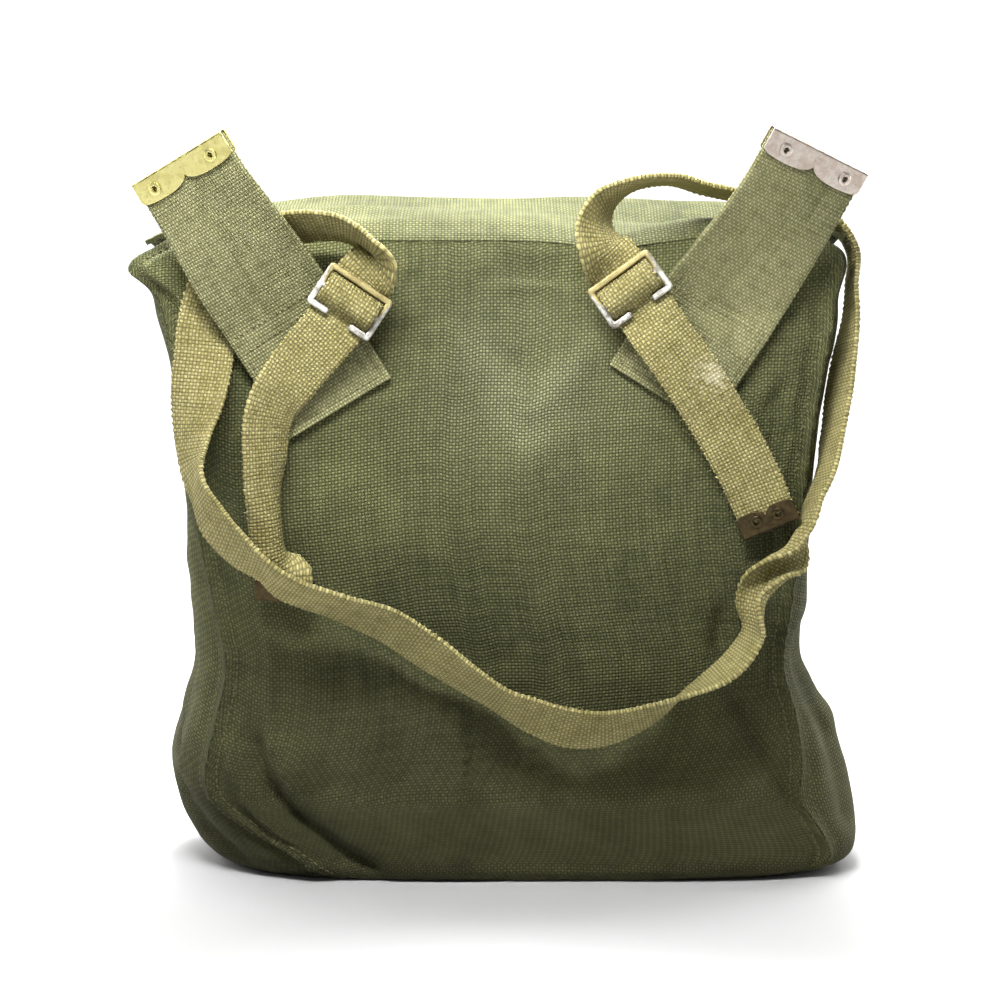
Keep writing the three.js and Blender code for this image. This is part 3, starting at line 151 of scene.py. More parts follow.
def hermite(keys, values, at):
    # smooth interpolation down a table, held flat past both ends
    at = np.clip(np.asarray(at, float), keys[0], keys[-1])
    last = len(keys) - 1
    i = np.clip(np.searchsorted(keys, at, side="right") - 1, 0, last - 1)
    before = np.maximum(np.arange(last + 1) - 1, 0)
    after = np.minimum(np.arange(last + 1) + 1, last)
    slope = (values[after] - values[before]) / (keys[after] - keys[before])
    span = keys[i + 1] - keys[i]
    t = (at - keys[i]) / span
    return ((2 * t**3 - 3 * t**2 + 1) * values[i] + (t**3 - 2 * t**2 + t) * span * slope[i]
            + (3 * t**2 - 2 * t**3) * values[i + 1] + (t**3 - t**2) * span * slope[i + 1])


def smooth(low, high, at):
    t = np.clip((np.asarray(at, float) - low) / (high - low), 0, 1)
    return t * t * (3 - 2 * t)


# finely sampled tables make every later look-up quick
fineUp = np.linspace(0, 1, 2001)


def fineTable(table, names):
    return {name: hermite(table[:, 0], table[:, k], fineUp) for k, name in enumerate(names) if k}


fineSection, fineSeam = fineTable(sections, sectionNames), fineTable(seams, seamNames)
fineOut = np.linspace(topPath[0][0], topPath[-1][0], 1001)
fineTop = hermite(topPath[:, 0], topPath[:, 1], fineOut)


def sectionAt(up):
    up = np.clip(up, 0, 1)
    return {name: np.interp(up, fineUp, column) for name, column in fineSection.items()}


def aroundToAngle(around):
    side = np.floor(around)
    return side * math.pi / 2 + np.arctan(2 * (around - side) - 1)


def angleToAround(angle):
    side = np.round(np.asarray(angle) / (math.pi / 2))
    return side + (np.tan(angle - side * math.pi / 2) + 1) / 2


def plan(angle, up):
    row = sectionAt(up)
    c, s = np.cos(angle), np.sin(angle)
    sharp = np.where(c < 0, row["sharpLeft"], row["sharpRight"])
    k = (np.abs(c)**sharp + np.abs(s)**sharp)**(-1 / sharp)
    x = k * c * halfWidth * np.where(c < 0, row["left"], row["right"])
    y = k * s * halfDepth * np.where(s < 0, row["back"], row["front"])
    return x, y


def topHeight(x, y):
    out, across = y / halfDepth, x / halfWidth
    up = np.interp(out, fineOut, fineTop)
    for foldAcross, foldOut, wide, long, lift in topFolds:
        up = up + lift * np.exp(-((across - foldAcross) / wide)**2 - ((out - foldOut) / long)**2)
    return (up - topDrop * np.abs(across)**6) * height


def foldLift(around, up, fine=False):
    lift = np.zeros(np.broadcast(around, up).shape)

    def away(side, across, at):
        turn = around - sideMiddle[side] - across / 2
        turn = turn - 4 * np.round(turn / 4)
        return turn * 2 * sideHalf[side], (up - at) * height

    for side, across, at, toAcross, toAt, wide, amount in mainFolds + (smallFolds if fine else []):
        ax, ay = away(side, across, at)
        bx, by = away(side, toAcross, toAt)
        runX, runY = ax - bx, ay - by
        t = np.clip((ax * runX + ay * runY) / (runX**2 + runY**2), 0, 1)
        off = np.hypot(ax - t * runX, ay - t * runY) / (wide * halfWidth)
        lift = lift + amount * halfDepth * np.exp(-off * off)
    for side, across, at, tall, wide, amount in ears:
        ax, ay = away(side, across, at)
        fade = np.exp(-np.abs(ax) / (wide * halfWidth) - (ay / (tall * height))**2)
        lift = lift + amount * halfDepth * fade
    return lift


def wallPlain(around, up):
    angle = aroundToAngle(around)
    x, y = plan(angle, up)
    rimX, rimY = plan(angle, np.ones_like(up))
    return np.stack([x, y, up * topHeight(rimX, rimY)], axis=-1)


def unit(v):
    return v / np.maximum(np.linalg.norm(v, axis=-1, keepdims=True), 1e-9)


def wallNormal(around, up):
    step = 0.004
    high = np.minimum(up + step, 1)
    low = np.maximum(high - 2 * step, 0)
    side = wallPlain(around + step, up) - wallPlain(around - step, up)
    rise = wallPlain(around, high) - wallPlain(around, low)
    return unit(np.cross(side, rise))


def wall(around, up, off=0.0, fine=False):
    around, up = np.broadcast_arrays(np.asarray(around, float), np.asarray(up, float))
    lift = off + foldLift(around, up, fine) * smooth(0, 0.03, up)
    return wallPlain(around, up) + wallNormal(around, up) * np.asarray(lift)[..., None]


def seamAround(up, name):
    share = np.interp(up, fineUp, fineSeam[name])
    row = sectionAt(up)
    sharp = row["sharpLeft"] if name.endswith("Left") else row["sharpRight"]
    turn = np.arctan2(share, (1 - share**sharp)**(1 / sharp))
    angle = {"backLeft": 1.5 * math.pi - turn, "backRight": 1.5 * math.pi + turn,
             "frontLeft": 0.5 * math.pi + turn, "frontRight": 0.5 * math.pi - turn}[name]
    return angleToAround(angle)


def rimDepth(x, sign):
    left = x < 0
    widest = halfWidth * np.where(left, fineSection["left"][-1], fineSection["right"][-1])
    sharp = np.where(left, fineSection["sharpLeft"][-1], fineSection["sharpRight"][-1])
    across = np.minimum(np.abs(x) / widest, 0.97)
    share = (1 - across**sharp)**(1 / sharp)
    return sign * share * halfDepth * fineSection["back" if sign < 0 else "front"][-1]


def aroundAt(x, up, sign):
    row = sectionAt(up)
    left = x < 0
    widest = halfWidth * np.where(left, row["left"], row["right"])
    sharp = np.where(left, row["sharpLeft"], row["sharpRight"])
    across = np.minimum(np.abs(x) / widest, 0.97)
    out = (1 - across**sharp)**(1 / sharp)
    return angleToAround(np.arctan2(sign * out, np.sign(x) * across) + (2 * math.pi if sign < 0 else 0))


def bagDistance(p):
    # distance of points outside the closed bag, lid included
    def reach(x, y, z):
        across, out = x / halfWidth, y / halfDepth
        up = np.clip(z / (0.985 * height), 0, 1)
        row = sectionAt(up)
        angle = np.arctan2(out / np.where(out < 0, row["back"], row["front"]),
                           across / np.where(across < 0, row["left"], row["right"]))
        rimX, rimY = plan(angle, np.ones_like(up))
        up = np.clip(z / topHeight(rimX, rimY), 0, 1)
        row = sectionAt(up)
        a = np.abs(across) / np.where(across < 0, row["left"], row["right"])
        b = np.abs(out) / np.where(out < 0, row["back"], row["front"])
        sharp = np.where(across < 0, row["sharpLeft"], row["sharpRight"])
        value = (a**sharp + b**sharp)**(1 / sharp) - 1
        return value, np.arctan2(np.sign(out) * b, np.sign(across) * a), up

    x, y, z = p[..., 0], p[..., 1], p[..., 2]
    value, angle, up = reach(x, y, z)
    h = 0.5
    slope = np.stack([reach(x + h, y, z)[0] - reach(x - h, y, z)[0],
                      reach(x, y + h, z)[0] - reach(x, y - h, z)[0],
                      reach(x, y, z + h)[0] - reach(x, y, z - h)[0]], axis=-1) / (2 * h)
    cover = smooth(hemUp - 0.06, hemUp - 0.02, up) * smooth(0, 0.3, y / halfDepth)
    fromWall = value / np.linalg.norm(slope, axis=-1) - foldLift(angleToAround(angle), up) - cover * lidLift
    topX = np.clip(x, -halfWidth * lidSide["left"], halfWidth * lidSide["right"])
    topY = np.clip(y, topPath[0][0] * halfDepth, topPath[-1][0] * halfDepth)
    return np.maximum(fromWall, (z - topHeight(topX, topY) - lidLift) * 0.9)


def pushOut(p, clear, active):
    # moves points that lie too close to the bag out along its slope
    p = p.copy()
    h = 0.4
    for _ in range(6):
        here = bagDistance(p)
        todo = active & (here < clear)
        if not todo.any():
            break
        q = p[todo]
        slope = np.stack([
            bagDistance(q + np.eye(3)[k] * h) - bagDistance(q - np.eye(3)[k] * h) for k in range(3)
        ], axis=-1) / (2 * h)
        size = np.maximum((slope**2).sum(-1), 0.2)
        p[todo] = q + slope * ((clear[todo] - here[todo]) / size)[:, None]
    return p


def meshFrom(name, points, faces, uvs=None, material=None, sharp=50):
    mesh = bpy.data.meshes.new(name)
    mesh.from_pydata((np.asarray(points) * mm).tolist(), [], [list(map(int, f)) for f in faces])
    if uvs is not None:
        layerUv = mesh.uv_layers.new(name="metres")
        loops = np.empty(len(mesh.loops), int)
        mesh.loops.foreach_get("vertex_index", loops)
        layerUv.data.foreach_set("uv", (np.asarray(uvs)[loops] * mm).ravel())
    mesh.polygons.foreach_set("use_smooth", [True] * len(mesh.polygons))
    if sharp:
        mesh.set_sharp_from_angle(angle=math.radians(sharp))
    if material:
        mesh.materials.append(material)
    thing = bpy.data.objects.new(name, mesh)
    bpy.context.scene.collection.objects.link(thing)
    return thing


def slabFaces(rows, columns):
    at = np.arange(2 * rows * columns).reshape(2, rows, columns)
    o, i = at[0], at[1]
    quads = [
        np.stack([o[:-1, :-1], o[:-1, 1:], o[1:, 1:], o[1:, :-1]], -1).reshape(-1, 4),
        np.stack([i[:-1, :-1], i[1:, :-1], i[1:, 1:], i[:-1, 1:]], -1).reshape(-1, 4),
        np.stack([o[1:, 0], i[1:, 0], i[:-1, 0], o[:-1, 0]], -1),
        np.stack([o[:-1, -1], i[:-1, -1], i[1:, -1], o[1:, -1]], -1),
        np.stack([o[0, :-1], i[0, :-1], i[0, 1:], o[0, 1:]], -1),
        np.stack([o[-1, 1:], i[-1, 1:], i[-1, :-1], o[-1, :-1]], -1),
    ]
    return np.concatenate(quads)


def gridNormals(grid):
    side = np.gradient(grid, axis=1)
    rise = np.gradient(grid, axis=0)
    return unit(np.cross(side, rise))


def clothSlab(name, outer, thick, uv, material, sharp=50):
    normals = gridNormals(outer)
    inner = outer - normals * thick
    rows, columns = outer.shape[:2]
    points = np.concatenate([outer.reshape(-1, 3), inner.reshape(-1, 3)])
    uvs = np.concatenate([uv.reshape(-1, 2), uv.reshape(-1, 2)])
    return meshFrom(name, points, slabFaces(rows, columns), uvs, material, sharp)


def runLengths(grid):
    # lengths over the cloth: along the rows from the middle, and up the columns
    across = np.linalg.norm(np.diff(grid, axis=1), axis=2)
    u = np.concatenate([np.zeros((grid.shape[0], 1)), np.cumsum(across, axis=1)], axis=1)
    u = u - u[:, [grid.shape[1] // 2]]
    rise = np.linalg.norm(np.diff(grid, axis=0), axis=2)
    v = np.concatenate([np.zeros((1, grid.shape[1])), np.cumsum(rise, axis=0)], axis=0)
    return np.stack([u, v], axis=-1)


def upsample(grid, rowFactor, columnFactor):
    # smooth finer copy of a grid of points, through all of them
    def along(points, factor):
        n = len(points)
        keys = np.arange(n, dtype=float)
        at = np.linspace(0, n - 1, (n - 1) * factor + 1)
        flat = points.reshape(n, -1)
        fine = np.stack([hermite(keys, flat[:, k], at) for k in range(flat.shape[1])], axis=1)
        return fine.reshape((len(at),) + points.shape[1:])
    return along(along(grid, rowFactor).swapaxes(0, 1), columnFactor).swapaxes(0, 1)


def clothWaves(rows, columns, cellRows, cellColumns, amount):
    coarse = noiseDice.normal(0, 1, (cellRows + 3, cellColumns + 3))
    rowKeys, columnKeys = np.arange(cellRows + 3, dtype=float), np.arange(cellColumns + 3, dtype=float)
    rowAt, columnAt = np.linspace(0.7, cellRows + 1.2, rows), np.linspace(0.7, cellColumns + 1.2, columns)
    tall = np.stack([hermite(rowKeys, coarse[:, k], rowAt) for k in range(cellColumns + 3)], axis=1)
    return amount * np.stack([hermite(columnKeys, tall[r], columnAt) for r in range(rows)], axis=0)


print("surface functions ready")


# a shader socket that can be used in sums
class Val:
    def __init__(self, sheet, socket):
        self.sheet = sheet
        self.socket = socket

    def maths(self, operation, *others):
        return self.sheet.node("ShaderNodeMath", {"operation": operation}, dict(enumerate((self,) + others)))

    def __add__(self, other):
        return self.maths("ADD", other)

    __radd__ = __add__

    def __mul__(self, other):
        return self.maths("MULTIPLY", other)

    __rmul__ = __mul__

    def __sub__(self, other):
        return self.maths("SUBTRACT", other)

    def __rsub__(self, other):
        return self.sheet.node("ShaderNodeMath", {"operation": "SUBTRACT"}, {0: other, 1: self})

    def __truediv__(self, other):
        return self.maths("DIVIDE", other)

    def __pow__(self, other):
        return self.maths("POWER", other)


# a material with its principled shader, built up by node()
class Finish:
    def __init__(self, name):
        self.material = bpy.data.materials.new(name)
        self.material.use_nodes = True
        self.tree = self.material.node_tree
        self.shader = self.tree.nodes["Principled BSDF"]

    def node(self, kind, settings=None, inputs=None, out=0):
        made = self.tree.nodes.new(kind)
        for key, value in (settings or {}).items():
            if key == "stops":
                ramp = made.color_ramp
                for place, colour in value[2:]:
                    ramp.elements.new(place).color = (*colour, 1)
                for element, (place, colour) in zip((ramp.elements[0], ramp.elements[-1]), value[:2]):
                    element.position, element.color = place, (*colour, 1)
            else:
                setattr(made, key, value)
        for key, value in (inputs or {}).items():
            socket = made.inputs[key]
            if isinstance(value, Val):
                self.tree.links.new(value.socket, socket)
            elif isinstance(value, tuple) and len(value) == 3 and socket.type == "RGBA":
                socket.default_value = (*value, 1)
            else:
                socket.default_value = value
        return Val(self, made.outputs[out])

    def mix(self, factor, a, b, blend="MIX"):
        return self.node("ShaderNodeMix", {"data_type": "RGBA", "blend_type": blend, "clamp_factor": True},
                         {0: factor, 6: a, 7: b}, 2)

    def noise(self, vector, scale, detail=3.0, rough=0.55):
        return self.node("ShaderNodeTexNoise", None,
                         {"Vector": vector, "Scale": scale, "Detail": detail, "Roughness": rough})

    def place(self):
        return self.node("ShaderNodeTexCoord", out=3)

    def cloth(self):
        spot = self.node("ShaderNodeUVMap", {"uv_map": "metres"})
        return [self.node("ShaderNodeSeparateXYZ", None, {0: spot}, k) for k in range(2)]

    def ramp(self, value, low, high, toLow=0.0, toHigh=1.0):
        return self.node("ShaderNodeMapRange", {"interpolation_type": "SMOOTHSTEP"},
                         {0: value, 1: low, 2: high, 3: toLow, 4: toHigh})

    def set(self, **inputs):
        for name, value in inputs.items():
            socket = self.shader.inputs[name.replace("_", " ")]
            if isinstance(value, Val):
                self.tree.links.new(value.socket, socket)
            else:
                socket.default_value = (*value, 1) if isinstance(value, tuple) and len(value) == 3 else value
        return self.material


def srgb(red, green, blue):
    # a screen colour, 0 to 255, turned into light
    def one(c):
        c /= 255
        return c / 12.92 if c <= 0.04045 else ((c + 0.055) / 1.055)**2.4
    return tuple(one(c) for c in (red, green, blue))


def weave(finish, pitchAcross, pitchUp, wobble):
    # over and under of a plain weave: height, and a value that differs from yarn to yarn
    u, v = finish.cloth()
    drift = finish.noise(finish.place(), 90.0, 2.0) - 0.5
    drift2 = finish.noise(finish.place(), 55.0, 2.0) - 0.5
    x = (u / (pitchAcross * mm) + drift * wobble) * math.pi
    y = (v / (pitchUp * mm) + drift2 * wobble) * math.pi
    sx, sy = x.maths("SINE"), y.maths("SINE")
    both = sx * sy
    warp = both.maths("MAXIMUM", 0.0) ** 0.55
    weft = (both * -1.0).maths("MAXIMUM", 0.0) ** 0.6 * 0.62
    level = warp.maths("MAXIMUM", weft)
    warpRun = finish.node("ShaderNodeCombineXYZ", None, {0: x * 0.35, 1: y * 0.02, 2: 1.7})
    weftRun = finish.node("ShaderNodeCombineXYZ", None, {0: x * 0.02, 1: y * 0.35, 2: 4.1})
    slub = finish.noise(warpRun, 1.0, 1.0) * 0.5 + finish.noise(weftRun, 1.0, 1.0) * 0.5
    return level, slub


def bumped(finish, level, depth, strength=1.0):
    inputs = {"Height": level, "Distance": depth * mm, "Strength": strength}
    return finish.node("ShaderNodeBump", None, inputs)


canvasLook = dict(
    pitch=1.4, wobble=0.35, bump=0.6, dark=(68, 74, 42), light=(118, 121, 76), worn=(176, 172, 124),
    # the colour (47, 41, 19) on the next line is painted shade for the base
    dirt=(50, 44, 24), baseShade=(47, 41, 19), pale=(192, 194, 150), gapShade=(0.012, 0.012, 0.007),
    # centre and heights of the painted highlight, partly rub wear, on the upper back
    rubX=0.012, veeZ=0.206, broadZ=0.222,
)


def canvasFinish(name, look):
    f = Finish(name)
    level, slub = weave(f, look["pitch"], look["pitch"], look["wobble"])
    spot = f.place()
    fade = f.ramp(f.noise(spot, 11.0, 5.0), 0.34, 0.68)
    mottle = f.ramp(f.noise(spot, 70.0, 4.0, 0.7), 0.3, 0.72)
    body = f.mix(fade * 0.65 + mottle * 0.35, srgb(*look["dark"]), srgb(*look["light"]))
    body = f.mix(f.ramp(slub, 0.38, 0.64) * 0.16, body, srgb(*look["worn"]))
    dirt = f.ramp(f.noise(spot, 23.0, 6.0, 0.65), 0.56, 0.8)
    body = f.mix(dirt * 0.4, body, srgb(*look["dirt"]))
    # paler down the middle of the upper back, a painted highlight partly from rubbing; painted shade darker
    # towards the base
    parts = [f.node("ShaderNodeSeparateXYZ", None, {0: spot}, k) for k in range(3)]
    cloud = f.noise(spot, 34.0, 5.0, 0.65) - 0.5
    # painted shade: the colour darkens towards the base
    low = f.ramp(parts[2] + cloud * 0.05, 0.0, 0.2, 1.0, 0.0)
    body = f.mix(low * 0.55, body, srgb(*look["baseShade"]))
    # painted highlight, partly rub wear: a pale V and a broad pale patch, on the back face only
    apart = (parts[0] - look["rubX"]).maths("ABSOLUTE")
    vee = (parts[2] - look["veeZ"] - apart * 0.9 + cloud * 0.05).maths("ABSOLUTE")
    veeRubHighlight = f.ramp(vee, 0.001, 0.026, 1.0, 0.0) * f.ramp(apart + cloud * 0.02, 0.004, 0.036, 1.0, 0.0)
    far = (apart ** 2 + (parts[2] - look["broadZ"]) ** 2) ** 0.5
    broadHighlight = f.ramp(far + cloud * 0.06, 0.01, 0.085, 1.0, 0.0)
    rubbed = (veeRubHighlight * 0.24 + broadHighlight * 0.16) * f.ramp(parts[1], -0.03, -0.02, 1.0, 0.0)
    body = f.mix(rubbed, body, srgb(*look["pale"]))
    # painted shade in the gaps between yarns
    body = f.mix(f.ramp(level, 0.15, 0.92, 0.72, 0.0), body, look["gapShade"])
    return f.set(Base_Color=body, Roughness=0.93, Specular_IOR_Level=0.25,
                 Normal=bumped(f, level * 0.85 + slub * 0.4, look["bump"]))


webLook = dict(across=1.15, up=1.4, wobble=0.3, bump=0.5, dark=(112, 113, 74), light=(164, 163, 116),
               worn=(206, 203, 158), gapShade=(0.040, 0.036, 0.018))
strapLook = dict(across=1.45, up=1.5, wobble=0.5, bump=0.6, dark=(132, 124, 72), light=(188, 178, 116),
                 worn=(222, 212, 160), gapShade=(0.040, 0.036, 0.018), bare=(0.090, -0.052, 0.2246),
                 bareThreads=(224, 218, 188))


def webbingFinish(name, look):
    f = Finish(name)
    level, slub = weave(f, look["across"], look["up"], look["wobble"])
    spot = f.place()
    fade = f.ramp(f.noise(spot, 18.0, 5.0), 0.34, 0.68)
    mottle = f.ramp(f.noise(spot, 160.0, 4.0, 0.7), 0.3, 0.72)
    body = f.mix(fade * 0.5 + mottle * 0.5, srgb(*look["dark"]), srgb(*look["light"]))
    body = f.mix(f.ramp(slub, 0.38, 0.62) * 0.28, body, srgb(*look["worn"]))
    # painted shade in the gaps between yarns
    body = f.mix(f.ramp(level, 0.15, 0.92, 0.66, 0.0), body, look["gapShade"])
    if "bare" in look:  # threads rubbed pale where the tail bends over the tab
        x, y, z = look["bare"]
        parts = [f.node("ShaderNodeSeparateXYZ", None, {0: spot}, k) for k in range(3)]
        far = ((parts[0] - x) ** 2 + (parts[2] - z) ** 2) ** 0.5
        bare = f.ramp(far + f.noise(spot, 420.0, 4.0) * 0.03, 0.012, 0.026, 1.0, 0.0)
        bare = bare * f.ramp(parts[1], y, y + 0.004, 1.0, 0.0) * 0.4
        body = f.mix(bare, body, srgb(*look["bareThreads"]))
    fuzz = f.noise(spot, 900.0, 2.0)
    return f.set(Base_Color=body, Roughness=0.95, Specular_IOR_Level=0.2,
                 Normal=bumped(f, level * 0.8 + slub * 0.4 + fuzz * 0.35, look["bump"]))


def metalFinish(name, clean, stain, grey, rough, cover=0.5, metal=1.0):
    f = Finish(name)
    spot = f.place()
    cloud = f.ramp(f.noise(spot, 220.0, 6.0, 0.7), 0.42, 0.62)
    speck = f.ramp(f.noise(spot, 1100.0, 3.0, 0.6), 0.6, 0.7)
    body = f.mix(cloud * cover, srgb(*clean), srgb(*stain))
    body = f.mix(speck * 0.5, body, srgb(*grey))
    dull = f.ramp(f.noise(spot, 420.0, 4.0), 0.3, 0.7, rough - 0.1, rough + 0.18)
    dents = f.noise(spot, 260.0, 3.0)
    return f.set(Base_Color=body, Roughness=dull, Metallic=metal, Normal=bumped(f, dents, 0.1, 0.35))


def threadFinish(name, colour):
    f = Finish(name)
    twist = f.node("ShaderNodeTexWave", {"wave_type": "BANDS", "bands_direction": "DIAGONAL"},
                   {"Vector": f.place(), "Scale": 420.0, "Distortion": 1.5}, 1)
    body = f.mix(twist, srgb(*colour), srgb(*[c * 0.72 for c in colour]))
    return f.set(Base_Color=body, Roughness=0.9, Normal=bumped(f, twist, 0.1))


canvas = canvasFinish("canvas", canvasLook)
tabWebbing = webbingFinish("tab webbing", webLook)
strapWebbing = webbingFinish("strap webbing", strapLook)
tabBrass = metalFinish("rubbed brass", (228, 220, 150), (196, 186, 112), (140, 132, 82), 0.38, 0.6)
paleBrass = metalFinish("pale brass", (206, 196, 186), (176, 156, 140), (128, 112, 98), 0.42, 0.6)
darkBrass = metalFinish("brown brass", (74, 62, 38), (42, 36, 24), (28, 25, 20), 0.42, 0.7, 0.85)
buckleMetal = metalFinish("worn buckle", (206, 204, 198), (112, 106, 90), (66, 60, 50), 0.46, 0.85, 0.6)
barBrass = metalFinish("worn bar", (178, 166, 116), (128, 114, 72), (84, 74, 50), 0.5, 0.6, 0.8)
greenThread = threadFinish("green thread", (96, 94, 60))
paleThread = threadFinish("pale thread", (206, 198, 158))
tabThread = threadFinish("tab thread", (132, 128, 88))
print("finishes made")

# the stuffed upper corners, the left one pulled out to a blunt point
cornerShape = dict(point=8.5, upper=6.0, at=267.5, tall=7.5, right=6.5, behind=34, fade=17)


def cornerPull(grid):
    x, y, z = grid[..., 0], grid[..., 1], grid[..., 2]
    towardsBack = np.exp(-(np.clip(y + cornerShape["behind"], 0, None) / cornerShape["fade"])**2)
    point = np.exp(-((z - cornerShape["at"]) / cornerShape["tall"])**2)
    left = cornerShape["point"] * point + cornerShape["upper"] * smooth(255, 274, z)
    right = cornerShape["right"] * smooth(252, 276, z)
    moved = grid.copy()
    moved[..., 0] = x + towardsBack * (smooth(114, 140, x) * right - smooth(116, 144, -x) * left)
    return moved


# the seam stands up as a rolled ridge, puckered by its stitches, with a shallow trough beside it
seamShape = dict(ridge=2.3, wide=2.4, pucker=0.16, pitch=7.3, trough=0.7, troughAt=6.5, troughWide=2.8)
panelWaves = dict(cell=26.0, small=0.55, fine=0.16)
panelGrids = {}


def bodyPanel(name, fromSeam, toSeam, columns, rows, wavy=1.0):
    up = np.linspace(0, 1, rows + 1)[:, None]
    start, end = seamAround(up, fromSeam), seamAround(up, toSeam)
    end = np.where(end < start, end + 4, end)
    share = np.linspace(0, 1, columns + 1)[None, :]
    share = 0.75 * share + 0.25 * (0.5 - 0.5 * np.cos(math.pi * share))  # closer together at the seams
    around = start + (end - start) * share
    up = np.broadcast_to(up, around.shape)
    grid = wall(around, up, 0.0, True)
    cloth = runLengths(grid)
    fromEdge = cloth[..., 0] - cloth[:, :1, 0]
    toEdge = cloth[:, -1:, 0] - cloth[..., 0]
    edge = np.minimum(fromEdge, toEdge)
    normals = gridNormals(grid)
    along = cloth[..., 1]
    swing = along * 2 * math.pi / seamShape["pitch"] + np.sin(along * 0.11) * 2.0
    pucker = 1 + seamShape["pucker"] * np.sin(swing)
    ridge = seamShape["ridge"] * pucker * np.exp(-(edge / seamShape["wide"])**2)
    trough = np.exp(-((edge - seamShape["troughAt"]) / seamShape["troughWide"])**2)
    ridge = ridge - seamShape["trough"] * trough
    quiet = smooth(0, 14, edge) * smooth(0, 0.04, up) * smooth(0, 0.03, 1 - up)
    sizeUp, sizeAcross = cloth[..., 1].max(), np.ptp(cloth[..., 0])
    count = [max(3, int(size / panelWaves["cell"])) for size in (sizeUp, sizeAcross)]
    waves = clothWaves(rows + 1, columns + 1, *count, panelWaves["small"] * wavy)
    waves = waves + clothWaves(rows + 1, columns + 1, count[0] * 3, count[1] * 3, panelWaves["fine"] * wavy)
    lift = ridge * smooth(0, 0.03, up) + waves * quiet
    grid = grid + normals * lift[..., None]
    inward = np.stack([unit(grid[:, 1] - grid[:, 0]), unit(grid[:, -2] - grid[:, -1])])
    fall = bag["seamGap"] * 0.45
    grid = grid + inward[0][:, None] * (fall * np.exp(-fromEdge / 1.2))[..., None]
    grid = grid + inward[1][:, None] * (fall * np.exp(-toEdge / 1.2))[..., None]
    grid[..., 2] = np.maximum(grid[..., 2], 0.0)
    grid = cornerPull(grid)
    uv = runLengths(grid)
    panelGrids[name] = (grid, uv)
    piece = clothSlab(name + "_cloth", grid, bag["canvas"], uv, canvas)
    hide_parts(name)
    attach(piece, "root")
    return piece


bodyPanel("back_panel", "backLeft", "backRight", 150, 170)
bodyPanel("front_panel", "frontRight", "frontLeft", 100, 120)
bodyPanel("gusset_left", "frontLeft", "backLeft", 66, 170, 1.2)
bodyPanel("gusset_right", "backRight", "frontRight", 66, 170, 1.2)
print("body panels made")


def basePiece():
    around = np.linspace(0, 4, 121)[:-1]
    edge = wall(around, np.zeros_like(around))
    normal = wallNormal(around, np.zeros_like(around))
    normal[..., 2] = 0
    edge = edge - unit(normal) * (bag["canvas"] + bag["fitGap"] + bag["seamGap"])
    middle = edge.mean(axis=0)
    rings = [middle + (edge - middle) * s for s in (1, 0.9, 0.7, 0.45, 0.2)]
    count = len(edge)
    points, faces = [], []
    for z in (0.0, bag["canvas"]):
        for ring in rings:
            points.append(np.column_stack([ring[:, 0], ring[:, 1], np.full(count, z)]))
    points += [[[middle[0], middle[1], z]] for z in (0.0, bag["canvas"])]
    points = np.concatenate(points)
    deck = len(rings) * count
    for side in range(2):
        for r in range(len(rings) - 1):
            for k in range(count):
                a, b = side * deck + r * count + k, side * deck + r * count + (k + 1) % count
                quad = (a, b, b + count, a + count)
                faces.append(quad[::-1] if side == 0 else quad)
        last = side * deck + (len(rings) - 1) * count
        for k in range(count):
            tri = (last + k, last + (k + 1) % count, 2 * deck + side)
            faces.append(tri[::-1] if side == 0 else tri)
    for k in range(count):
        faces.append((k, (k + 1) % count, deck + (k + 1) % count, deck + k))
    piece = meshFrom("base_panel_cloth", points, faces, points[:, :2], canvas, 40)
    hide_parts("base_panel")
    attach(piece, "root")


basePiece()

# the lid, over the top and down the hidden front
lidShape = dict(columns=16, topSteps=11, lowerBack=0.9, finerRows=6, finerColumns=9, small=0.5, fine=0.15,
                hem=0.5, hemAt=0.8, stitchDip=0.35, stitchAt=9.0, backSeam=0.5, backAt=3.0)


def lidGrid():
    columns, topSteps = lidShape["columns"], lidShape["topSteps"]
    rows = [(None, k / topSteps, 1.0) for k in range(topSteps + 1)]
    rows += [(up, None, wide) for up, wide in curtain]
    even = 2 * np.arange(columns + 1) / columns - 1
    spread = (even + np.sin(even * math.pi / 2)) / 2
    core = []
    for up, share, wide in rows:
        x = spread * wide * halfWidth * np.where(spread < 0, lidSide["left"], lidSide["right"])
        if up is None:
            y = rimDepth(x, -1) * (1 - share) + rimDepth(x, 1) * share
            core.append(np.stack([x, y, topHeight(x, y)], axis=-1))
        else:
            core.append(wall(aroundAt(x, np.full_like(x, up), 1), np.full_like(x, up)))
    core = np.array(core)
    padded = np.pad(core, ((1, 1), (1, 1), (0, 0)), mode="edge")
    side = padded[1:-1, 2:] - padded[1:-1, :-2]
    rise = padded[2:, 1:-1] - padded[:-2, 1:-1]
    normal = unit(np.cross(side, rise))
    x = core[0, :, 0]
    normal[0] = wallNormal(aroundAt(x, np.ones_like(x), -1), np.ones_like(x))
    r = np.arange(len(rows))[:, None]
    lift = lidLift * np.maximum(smooth(0.75, 0.9, np.abs(spread))[None, :], smooth(1, 5, r))
    place = core + normal * lift[..., None]
    place[0] -= unit(rise[0]) * lidShape["lowerBack"]
    return place


